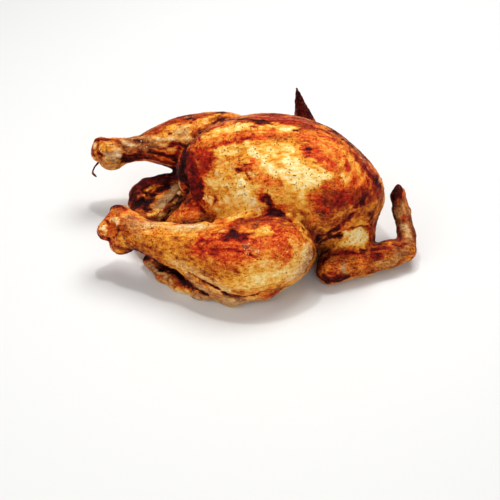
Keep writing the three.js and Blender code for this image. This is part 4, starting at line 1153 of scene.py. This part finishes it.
@dataclass
class Roast:
    """Works out how brown, red and pale each spot of the skin is, with painted crease shade, highlights and shadows,
    and where flecks and beads lie on it.
    """

    form: BirdForm
    tracer: Tracer
    ragged: float = 0.45
    most_ragged: float = 4.0
    fray: float = 1.1
    bead_edge: float = 1.5

    def paint(self, points: Array, normals: Array) -> dict[str, Array]:
        """Return the skin's attributes.

        Args:
            points: the skin's vertices, mm.
            normals: their outward normals.

        Returns:
            One array of values for each attribute name.
        """
        crease_shade = self._crease_shade(points, normals)
        layers = self._ground(points, normals)
        wide = PatternNoise.warp(points, size=13.0, seed=21)
        tight = PatternNoise.warp(points, size=4.5, seed=81)
        broken = 0.85 + 0.6 * PatternNoise.streak(points, size=3.0, seed=44)
        frayed = self.fray * PatternNoise.streak(points, size=2.4, seed=90, octaves=2)
        traced = self.tracer.trace_all([stroke.path for stroke in ALL_STROKES])
        for stroke, knots in zip(ALL_STROKES, traced):
            size = float(knots[:, 3].mean())
            offset = wide * min(self.most_ragged, self.ragged * size) + tight * min(1.4, 0.3 + 0.25 * size)
            close, gap = Tracer.gap(points + offset, knots, stroke.edge)
            gap = gap + frayed[close] * min(2.2, size)
            edge = stroke.edge * min(1.5, 0.9 + 0.12 * size)
            weight = stroke.strength * soft_step(edge, -edge * 0.5, gap)
            weight = weight * np.clip(broken[close] + 0.35 * weight, 0, 1)
            for layer, target in zip(layers, stroke.tone.value):
                layer[close] += (target - layer[close]) * weight
        browning, redness, pallor = layers
        # painted shade: the browning is darkened in creases by how shut in they lie
        browning += 0.25 * crease_shade * (1 - pallor)
        clumps = soft_step(-0.2, 0.6, PatternNoise.blotch(points, size=8.0, seed=64, octaves=2))
        facing_up = soft_step(-0.1, 0.5, normals[:, 2])
        pale = soft_step(0.60, 0.25, browning)
        beads = np.zeros(len(points))
        for knots in self.tracer.trace_all(list(BEAD_PATCHES.values())):
            close, gap = Tracer.gap(points, knots, self.bead_edge)
            beads[close] = np.maximum(beads[close], soft_step(self.bead_edge, -1.0, gap))
        # browning carries the painted crease shade, and all three layers carry the painted highlights and shadows
        # among the strokes
        return {
            "flecks": facing_up * (0.12 + pale * (0.35 + 0.65 * clumps)),
            "beads": beads,
            "browning": np.clip(browning, 0, 1),
            "redness": np.clip(redness, 0, 1.3),
            "pallor": np.clip(pallor, 0, 1),
        }

    @staticmethod
    def _ground(points: Array, normals: Array) -> list[Array]:
        """Return the browning, redness and pallor that the oven gives anywhere on the bird."""
        patches = PatternNoise.blotch(points, size=30.0, seed=3)
        streaks = PatternNoise.streak(points, size=6.0, seed=12)
        scorch = PatternNoise.blotch(points, size=13.0, seed=57)
        flush = PatternNoise.blotch(points, size=24.0, seed=71)
        browning = 0.40 + 0.26 * patches + 0.12 * streaks + 0.05 * normals[:, 2]
        browning = browning + 0.28 * soft_step(0.48, 0.85, scorch)
        redness = 0.45 + 0.55 * flush + 0.15 * streaks
        damp = soft_step(9.0, 2.0, points[:, 2])
        browning = browning * (1 - 0.2 * damp)
        return [browning, redness * (1 - 0.5 * damp), 0.45 * damp]

    def _crease_shade(self, points: Array, normals: Array) -> Array:
        """Return how much each point lies in a crease, from 0 in the open to 1, to paint shade into the creases."""
        total = np.zeros(len(points))
        for reach in (4.0, 9.0):
            total += np.clip(1 - self.form.distance(points + normals * reach) / reach, 0, 1)
        return np.clip(total * 0.9 - 0.25, 0, 1)


# ---- finishes
def linear(hex_colour: str) -> tuple[float, float, float, float]:
    """Turn an sRGB hex value such as "C27A33" into linear red, green, blue and alpha."""
    parts = [int(hex_colour[n : n + 2], 16) / 255 for n in (0, 2, 4)]
    light = [c / 12.92 if c <= 0.04045 else ((c + 0.055) / 1.055) ** 2.4 for c in parts]
    return (light[0], light[1], light[2], 1.0)


def add_node(
    tree: bpy.types.NodeTree, kind: str, links: dict[str | int, object] | None = None, **settings: object,
) -> bpy.types.Node:
    """Add one node with its settings and inputs.

    Args:
        tree: the tree that it goes in.
        kind: the node's type.
        links: input name or number to a value or to another node's output.
        settings: the node's own properties.

    Returns:
        The new node.
    """
    made = tree.nodes.new(kind)
    for name, value in settings.items():
        setattr(made, name, value)
    for key, value in (links or {}).items():
        if isinstance(value, Socket):
            tree.links.new(value, made.inputs[key])
        else:
            made.inputs[key].default_value = value
    return made


def shade_ramp(ramp: bpy.types.ColorRamp, stops: Stops) -> None:
    """Give a colour ramp its stops: (place, sRGB hex)."""
    while len(ramp.elements) > 1:
        ramp.elements.remove(ramp.elements[-1])
    ramp.elements[0].position = stops[0][0]
    ramp.elements[0].color = linear(stops[0][1])
    for place, colour in stops[1:]:
        ramp.elements.new(place).color = linear(colour)


class FinishTree:
    """A new material's nodes, with a short way to add each kind that the finishes share."""

    def __init__(self, name: str) -> None:
        self.material = bpy.data.materials.new(name)
        self.material.use_nodes = True
        self.tree = self.material.node_tree
        self.tree.nodes.clear()

    def place(self) -> Socket:
        """Return the place in the part's frame."""
        return add_node(self.tree, "ShaderNodeTexCoord").outputs["Object"]

    def read(self, name: str, output: str = "Fac") -> Socket:
        """Return what the mesh stores under a name."""
        return add_node(self.tree, "ShaderNodeAttribute", attribute_name=name).outputs[output]

    def math(self, operation: str, *values: Socket | float, clamp: bool = False) -> Socket:
        """Return the result of one sum."""
        links = dict(enumerate(values))
        return add_node(self.tree, "ShaderNodeMath", links, operation=operation, use_clamp=clamp).outputs[0]

    def remap(self, value: Socket, start: float, end: float, low: float, high: float) -> Socket:
        """Return low where the value is at start, high where it is at end, and what lies between."""
        links = {"Value": value, "From Min": start, "From Max": end, "To Min": low, "To Max": high}
        return add_node(self.tree, "ShaderNodeMapRange", links).outputs[0]

    def stretched(self, place: Socket, along: float) -> Socket:
        """Return the place squeezed along the bird, which draws patterns out that way."""
        return add_node(self.tree, "ShaderNodeMapping", {"Vector": place, "Scale": (along, 1.0, 1.0)}).outputs[0]

    def noise(self, place: Socket, size: float, detail: float = 4.0, rough: float = 0.62) -> Socket:
        """Return a noise whose blotches are this many mm across."""
        links = {"Vector": place, "Scale": 1 / (size * MM), "Detail": detail, "Roughness": rough}
        return add_node(self.tree, "ShaderNodeTexNoise", links).outputs["Fac"]

    def ramp(self, level: Socket, stops: Stops) -> Socket:
        """Return the colour of a level on a ramp."""
        ramp = add_node(self.tree, "ShaderNodeValToRGB", {"Fac": level})
        shade_ramp(ramp.color_ramp, stops)
        return ramp.outputs["Color"]

    def mottle(self, size: float, stops: Stops) -> Socket:
        """Return a colour that wanders over a ramp in blotches of a size in mm."""
        return self.ramp(self.noise(self.place(), size, detail=2.0, rough=0.5), stops)

    def blend(self, share: Socket, first: Socket, second: Socket) -> Socket:
        """Return the first colour, gone over to the second by a share."""
        return add_node(self.tree, "ShaderNodeMix", {0: share, 6: first, 7: second}, data_type="RGBA").outputs[2]

    def surface(self, links: dict[str | int, object]) -> Material:
        """Close the tree with one principled surface, and return the material."""
        shader = add_node(self.tree, "ShaderNodeBsdfPrincipled", links)
        add_node(self.tree, "ShaderNodeOutputMaterial", {"Surface": shader.outputs["BSDF"]})
        return self.material


@dataclass(frozen=True)
class RoastSkin:
    """Roasted poultry skin: thin dried skin basted with its own fat, pale where thick, dark where it blistered."""

    golden: Stops = (
        (0.0, "FAE6B0"), (0.12, "F4CB74"), (0.25, "E8A538"), (0.38, "D48524"), (0.50, "B05F1A"),
        (0.64, "7E3D18"), (0.80, "43190E"), (1.0, "140706"),
    )
    ruddy: Stops = (
        (0.0, "F7DCAA"), (0.12, "F2BA72"), (0.25, "EB9038"), (0.38, "DB5C1E"), (0.50, "BD3010"),
        (0.64, "8E180E"), (0.80, "4A0C0C"), (1.0, "180607"),
    )
    bare: Stops = (
        (0.0, "EDDCC0"), (0.25, "CBAA7E"), (0.5, "9E774C"), (0.75, "664B34"), (1.0, "1E1614"),
    )
    blotch_mm: float = 5.5
    flush_mm: float = 4.0
    streak_mm: float = 2.6
    grain_mm: float = 1.5
    vein_mm: float = 4.5
    pepper_mm: float = 3.4
    blotch_swing: float = 0.42
    streak_swing: float = 0.60
    grain_swing: float = 0.45
    relief_mm: float = 1.8
    fat_depth_mm: float = 1.5

    def material(self) -> Material:
        """Return the finish as a material that reads the skin's attributes."""
        web = FinishTree("basted_roast_skin")
        place = web.place()
        streak = self._streaks(web, place)
        level, relief = self._level(web, place, streak)
        flush = web.math("ADD", web.noise(place, self.flush_mm), streak)
        flush = web.math("MULTIPLY_ADD", flush, 0.85, -0.88)
        redness = web.math("ADD", web.read("redness"), flush, clamp=True)
        golden, ruddy, bare = (web.ramp(level, stops) for stops in (self.golden, self.ruddy, self.bare))
        colour = web.blend(web.read("pallor"), web.blend(redness, golden, ruddy), bare)
        gloss = web.remap(relief, 0.35, 0.65, 0.26, 0.48)
        charred = web.remap(level, 0.5, 0.95, 0.0, 0.28)
        bump = {"Height": relief, "Strength": 1.0, "Distance": self.relief_mm * MM}
        return web.surface({
            "Base Color": colour, "Roughness": web.math("ADD", gloss, charred),
            "Normal": add_node(web.tree, "ShaderNodeBump", bump).outputs["Normal"], "IOR": 1.45,
            "Specular IOR Level": 0.06, "Subsurface Weight": 0.04,
            "Subsurface Radius": (1.0, 0.45, 0.2), "Subsurface Scale": self.fat_depth_mm * MM,
        })

    def _streaks(self, web: FinishTree, place: Socket) -> Socket:
        """Return streaks that run along the bird, and round it at the neck end."""
        along = web.noise(web.stretched(place, 0.42), self.streak_mm)
        around = web.noise(web.read("swirl", "Vector"), self.streak_mm)
        links = {0: web.read("swirl_share"), 2: along, 3: around}
        return add_node(web.tree, "ShaderNodeMix", links).outputs[0]

    def _veined(self, web: FinishTree, place: Socket, level: Socket) -> Socket:
        """Darken thin wandering lines, where the skin cracked as it dried, most where it is half browned."""
        veins = web.noise(web.stretched(place, 0.6), self.vein_mm)
        off_line = web.math("ABSOLUTE", web.math("SUBTRACT", veins, 0.5))
        line = web.remap(off_line, 0.022, 0.006, 0.0, 1.0)
        share = web.remap(level, 0.12, 0.5, 0.05, 0.24)
        return web.math("ADD", level, web.math("MULTIPLY", line, share))

    def _peppered(self, web: FinishTree, place: Socket, level: Socket) -> Socket:
        """Darken small round spots, in under half of the cells that they could lie in."""
        links = {"Vector": place, "Scale": 1 / (self.pepper_mm * MM), "Randomness": 1.0}
        spots = add_node(web.tree, "ShaderNodeTexVoronoi", links).outputs
        dark = web.remap(spots["Distance"], 0.16, 0.07, 0.0, 0.45)
        chance = add_node(web.tree, "ShaderNodeSeparateColor", {"Color": spots["Color"]}).outputs[0]
        return web.math("ADD", level, web.math("MULTIPLY", dark, web.math("LESS_THAN", chance, 0.45)))

    def _level(self, web: FinishTree, place: Socket, streak: Socket) -> tuple[Socket, Socket]:
        """Return the browning with its fine pattern, and the height of the fine relief."""
        # the browning read here carries the shade painted into the creases
        level = web.read("browning")
        grain = web.noise(place, self.grain_mm)
        blotch = web.noise(place, self.blotch_mm)
        for pattern, swing in (
            (blotch, self.blotch_swing), (streak, self.streak_swing), (grain, self.grain_swing),
        ):
            level = web.math("ADD", level, web.math("MULTIPLY_ADD", pattern, swing, -swing / 2))
        relief = web.math("MULTIPLY", web.math("ADD", streak, grain), 0.5)
        return self._peppered(web, place, self._veined(web, place, level)), relief


@dataclass(frozen=True)
class CharredHerb:
    """Dried herb and cracked pepper, charred in the oven: matt, dark russet with a few brown crumbs."""

    dark: str = "521A06"
    brown: str = "8A3C10"
    change_mm: float = 6.0

    def material(self) -> Material:
        """Return the finish as a material."""
        web = FinishTree("charred_dried_herb")
        colour = web.mottle(self.change_mm, ((0.45, self.dark), (0.68, self.brown)))
        return web.surface({"Base Color": colour, "Roughness": 0.9, "Specular IOR Level": 0.1})


@dataclass(frozen=True)
class SetFat:
    """Beads of basting fat and juice, glassy and pale amber, that catch the light as white points."""

    amber: str = "F2D9B4"
    tint: str = "C98A5A"
    change_mm: float = 5.0
    depth_mm: float = 1.0

    def material(self) -> Material:
        """Return the finish as a material."""
        web = FinishTree("set_basting_fat")
        colour = web.mottle(self.change_mm, ((0.40, self.tint), (0.58, self.amber)))
        return web.surface({
            "Base Color": colour, "Roughness": 0.12, "IOR": 1.46, "Subsurface Weight": 0.1,
            "Subsurface Scale": self.depth_mm * MM,
        })


@dataclass(frozen=True)
class PaleTop:
    """A matt painted table top in a light neutral grey, plain so that nothing competes with the bird."""

    colour: str = "DEDEDC"

    def material(self) -> Material:
        """Return the finish as a material."""
        return FinishTree("pale_matt_top").surface({"Base Color": linear(self.colour), "Roughness": 0.75})


# ---- pieces
@dataclass
class Chicken:
    """The bird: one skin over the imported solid."""

    picture: PictureFrame
    form: BirdForm = field(default_factory=BirdForm)
    lattice: SkinLattice = field(default_factory=SkinLattice)
    wrinkle: float = 0.7
    pores: float = 0.3
    crinkle: float = 1.3
    deepest: float = 3.2

    def build(self) -> Piece:
        """Draw, wrinkle and paint the skin, and return its piece."""
        vertices, faces = self.lattice.draw(self.form.distance)
        normals = self.form.normals(vertices)
        tracer = Tracer(self.form, self.picture)
        painted = Roast(self.form, tracer).paint(vertices, normals)
        vertices = self._wrinkled(vertices, normals, tracer)
        piece = mesh_piece("chicken_skin", vertices, faces)
        places, share = PatternNoise.swirl(vertices)
        painted["swirl"] = places * MM
        painted["swirl_share"] = share
        for name, values in painted.items():
            write_attribute(piece, name, values)
        piece.data.materials.append(RoastSkin().material())
        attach(piece, "root")
        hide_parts("chicken")
        LOG.info("chicken_skin: %d vertices, %d faces", len(vertices), len(faces))
        return piece

    def _wrinkled(self, points: Array, normals: Array, tracer: Tracer) -> Array:
        """Return the skin moved along its normals by wrinkles, pores and the named folds."""
        wrinkles = np.abs(PatternNoise.streak(points, size=5.0, seed=5))
        pores = PatternNoise.blotch(points, size=2.8, seed=15, octaves=2)
        dried = soft_step(50.0, 75.0, points[:, 0]) * soft_step(60.0, 40.0, points[:, 2])
        dried = np.maximum(dried, PatternNoise.swirl(points)[1])
        crinkles = np.abs(PatternNoise.streak(points, size=3.4, seed=61, octaves=2))
        sink = self.wrinkle * np.clip(wrinkles, 0, 1.2) + self.pores * np.clip(pores, -1, 1)
        sink = np.clip(sink + self.crinkle * dried * np.clip(crinkles - 0.15, 0, 1), 0, None)
        wander = PatternNoise.warp(points, size=7.0, seed=33) * 0.9
        traced = tracer.trace_all([fold.path for fold in FOLDS])
        for fold, knots in zip(FOLDS, traced):
            close, gap = Tracer.gap(points + wander, knots, fold.width * 2.2)
            sink[close] += fold.depth * np.exp(-((np.clip(gap, 0, None) / fold.width) ** 2))
        clear = soft_step(0.3, 3.0, points[:, 2])
        return points - normals * (np.clip(sink, -1.0, self.deepest) * clear)[:, None]


@dataclass(frozen=True)
class Strewn:
    """Small bits of one kind, in mm, that a Geometry Nodes tree strews over the skin, half sunk in it."""

    name: str
    attribute: str
    per_square_cm: float
    shortest: float
    longest: float
    slimness: float
    flatness: float
    seed: int
    spin_seed: int = 5

    def build(self, skin: Piece, finish: Material) -> Piece:
        """Strew the bits over a skin.

        Args:
            skin: the piece that carries this kind's attribute, which says how thickly they lie.
            finish: the bits' material.

        Returns:
            One plain mesh piece of all the bits.
        """
        tree = self._tree()
        piece = bpy.data.objects.new(self.name, skin.data.copy())
        bpy.context.scene.collection.objects.link(piece)
        modifier = piece.modifiers.new("strew", "NODES")
        modifier.node_group = tree
        sockets = {item.name: item.identifier for item in tree.interface.items_tree if item.in_out == "INPUT"}
        for name, value in (
            ("Per square metre", self.per_square_cm * CM2_PER_M2), ("Shortest", self.shortest * MM),
            ("Longest", self.longest * MM), ("Slimness", self.slimness), ("Flatness", self.flatness),
            ("Seed", self.seed), ("Finish", finish),
        ):
            modifier[sockets[name]] = value
        evaluated = piece.evaluated_get(bpy.context.evaluated_depsgraph_get())
        mesh = bpy.data.meshes.new_from_object(evaluated)
        piece.modifiers.clear()
        piece.data = mesh
        mesh.name = self.name
        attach(piece, "root")
        LOG.info("%s: %d faces", self.name, len(mesh.polygons))
        return piece

    def _tree(self) -> bpy.types.NodeTree:
        """Return the tree: points by the attribute, a small ball on each, turned, stretched and realized."""
        tree = bpy.data.node_groups.new(f"strew_{self.name}", "GeometryNodeTree")
        for name, kind in (
            ("Geometry", "Geometry"), ("Per square metre", "Float"), ("Shortest", "Float"), ("Longest", "Float"),
            ("Slimness", "Float"), ("Flatness", "Float"), ("Seed", "Int"), ("Finish", "Material"),
        ):
            tree.interface.new_socket(name, in_out="INPUT", socket_type=f"NodeSocket{kind}")
        tree.interface.new_socket("Geometry", in_out="OUTPUT", socket_type="NodeSocketGeometry")
        add = partial(add_node, tree)

        def product(first: Socket, second: Socket) -> Socket:
            """Return two values multiplied."""
            return add("ShaderNodeMath", {0: first, 1: second}, operation="MULTIPLY").outputs[0]

        given = add("NodeGroupInput").outputs
        seed = given["Seed"]
        thickness = add("GeometryNodeInputNamedAttribute", {"Name": self.attribute}, data_type="FLOAT").outputs
        density = product(thickness["Attribute"], given["Per square metre"])
        points = add(
            "GeometryNodeDistributePointsOnFaces", {"Mesh": given["Geometry"], "Density": density, "Seed": seed},
        ).outputs
        lengths = {2: given["Shortest"], 3: given["Longest"], "Seed": seed}
        length = add("FunctionNodeRandomValue", lengths, data_type="FLOAT").outputs[1]
        angle = add("FunctionNodeRandomValue", {2: 0.0, 3: math.tau, "Seed": self.spin_seed}, data_type="FLOAT")
        spin = add("FunctionNodeAxisAngleToRotation", {"Axis": (0, 0, 1), "Angle": angle.outputs[1]})
        turn = add(
            "FunctionNodeRotateRotation", {"Rotation": points["Rotation"], "Rotate By": spin.outputs[0]},
            rotation_space="LOCAL",
        )
        size = add(
            "ShaderNodeCombineXYZ",
            {"X": length, "Y": product(length, given["Slimness"]), "Z": product(length, given["Flatness"])},
        )
        ball = add("GeometryNodeMeshIcoSphere", {"Radius": 0.5, "Subdivisions": 1})
        placed = add(
            "GeometryNodeInstanceOnPoints",
            {"Points": points["Points"], "Instance": ball.outputs["Mesh"], "Rotation": turn.outputs[0],
             "Scale": size.outputs[0]},
        )
        real = add("GeometryNodeRealizeInstances", {"Geometry": placed.outputs[0]})
        dressed = add("GeometryNodeSetMaterial", {"Geometry": real.outputs[0], "Material": given["Finish"]})
        add("NodeGroupOutput", {0: dressed.outputs[0]})
        return tree


@dataclass(frozen=True)
class TendonThread:
    """A thread of charred tendon that hangs from the far hock, with a hooked end."""

    picture: PictureFrame
    root: tuple[float, float] = (98.0, 163.0)
    hang: tuple[Knot, ...] = (
        (3.0, 1.5, 3.0, 1.3), (0.0, 0.0, 0.0, 1.0), (-3.0, -0.5, -3.6, 0.7), (-4.8, -1.0, -7.6, 0.7),
        (-5.0, -1.0, -10.2, 1.0), (-3.6, -1.0, -12.0, 1.0), (-2.2, -1.0, -13.6, 0.6),
    )
    sides: int = 10

    def build(self, form: BirdForm, finish: Material) -> Piece:
        """Return the thread's piece, rooted in the skin where the root pixel lands."""
        root = self.picture.land(form, np.array([self.root]))[0]
        knots = np.array(self.hang)
        middle = root + knots[:, :3]
        ahead = np.gradient(middle, axis=0)
        ahead /= np.linalg.norm(ahead, axis=1, keepdims=True)
        side = np.cross(ahead, np.array([0.0, 1.0, 0.0]))
        side /= np.linalg.norm(side, axis=1, keepdims=True)
        other = np.cross(ahead, side)
        turns = np.arange(self.sides) * math.tau / self.sides
        rings = [
            middle[n] + knots[n, 3] * (np.cos(turns)[:, None] * side[n] + np.sin(turns)[:, None] * other[n])
            for n in range(len(knots))
        ]
        faces = [
            (ring * self.sides + n, ring * self.sides + (n + 1) % self.sides,
             (ring + 1) * self.sides + (n + 1) % self.sides, (ring + 1) * self.sides + n)
            for ring in range(len(knots) - 1) for n in range(self.sides)
        ]
        last = (len(knots) - 1) * self.sides
        faces.append(tuple(reversed(range(self.sides))))
        faces.append(tuple(range(last, last + self.sides)))
        piece = mesh_piece("tendon_thread", np.concatenate(rings), faces)
        piece.data.materials.append(finish)
        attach(piece, "root")
        LOG.info("tendon_thread: %d faces", len(faces))
        return piece


@dataclass(frozen=True)
class Studio:
    """A pale table top, soft lights and the camera."""

    picture: PictureFrame
    floor_half: float = 3000.0
    lamp_target: Triple = (0.0, 0.0, 45.0)
    room_light: float = 0.3

    def build(self) -> None:
        """Make the floor, the lights, the world and the camera."""
        self._floor()
        self._lamp("key_softbox", (250, 380, 950), size=500, power=8.0)
        self._lamp("fill_softbox", (-700, -500, 700), size=800, power=3.6)
        self._lamp("front_fill", (300, -1100, 500), size=600, power=4.0)
        self._lamp("sparkle", (-60, 200, 900), size=70, power=2.4)
        self._world()
        self._camera()

    def _floor(self) -> None:
        """Lay a wide flat top at the seat's height."""
        half = self.floor_half
        corners = np.array([(-half, -half, 0), (half, -half, 0), (half, half, 0), (-half, half, 0)])
        floor = mesh_piece("table_top", corners, [(0, 1, 2, 3)])
        floor.data.materials.append(PaleTop().material())

    def _lamp(self, name: str, place: Triple, size: float, power: float) -> None:
        """Hang a square softbox at a place in mm, turned to the bird's middle."""
        data = bpy.data.lights.new(name, "AREA")
        data.shape = "SQUARE"
        data.size = size * MM
        data.energy = power
        self._hang(data, Vector(place) * MM, (Vector(self.lamp_target) - Vector(place)) * MM)

    @staticmethod
    def _hang(data: bpy.types.ID, place: Vector, ahead: Vector) -> Piece:
        """Return a lamp or camera, hung at a place and looking ahead."""
        made = bpy.data.objects.new(data.name, data)
        made.location = place
        made.rotation_euler = ahead.to_track_quat("-Z", "Y").to_euler()
        bpy.context.scene.collection.objects.link(made)
        return made

    def _world(self) -> None:
        """Surround the table with even white light."""
        world = bpy.data.worlds.new("white_room")
        world.use_nodes = True
        background = world.node_tree.nodes["Background"]
        background.inputs["Color"].default_value = (1.0, 1.0, 1.0, 1.0)
        background.inputs["Strength"].default_value = self.room_light
        bpy.context.scene.world = world

    def _camera(self) -> None:
        """Place the camera at the picture's angle."""
        data = bpy.data.cameras.new("camera")
        data.lens = self.picture.lens
        data.sensor_width = self.picture.sensor
        data.clip_start = 0.05
        data.clip_end = 20.0
        scene = bpy.context.scene
        scene.camera = self._hang(data, Vector(self.picture.eye) * MM, -Vector(self.picture.back))
        scene.view_settings.view_transform = "Standard"


def main() -> None:
    """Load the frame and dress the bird."""
    logging.basicConfig(level=logging.INFO, format="%(name)s %(message)s")
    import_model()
    picture = PictureFrame()
    Studio(picture).build()
    chicken = Chicken(picture)
    skin = chicken.build()
    herb = CharredHerb().material()
    flecks = Strewn("herb_flecks", "flecks", per_square_cm=8.5, shortest=0.5, longest=2.0,
                    slimness=0.5, flatness=0.3, seed=11)
    beads = Strewn("fat_beads", "beads", per_square_cm=12.0, shortest=0.5, longest=1.4,
                   slimness=0.7, flatness=0.45, seed=23)
    flecks.build(skin, herb)
    beads.build(skin, SetFat().material())
    TendonThread(picture).build(chicken.form, herb)


if __name__ == "__main__":
    main()
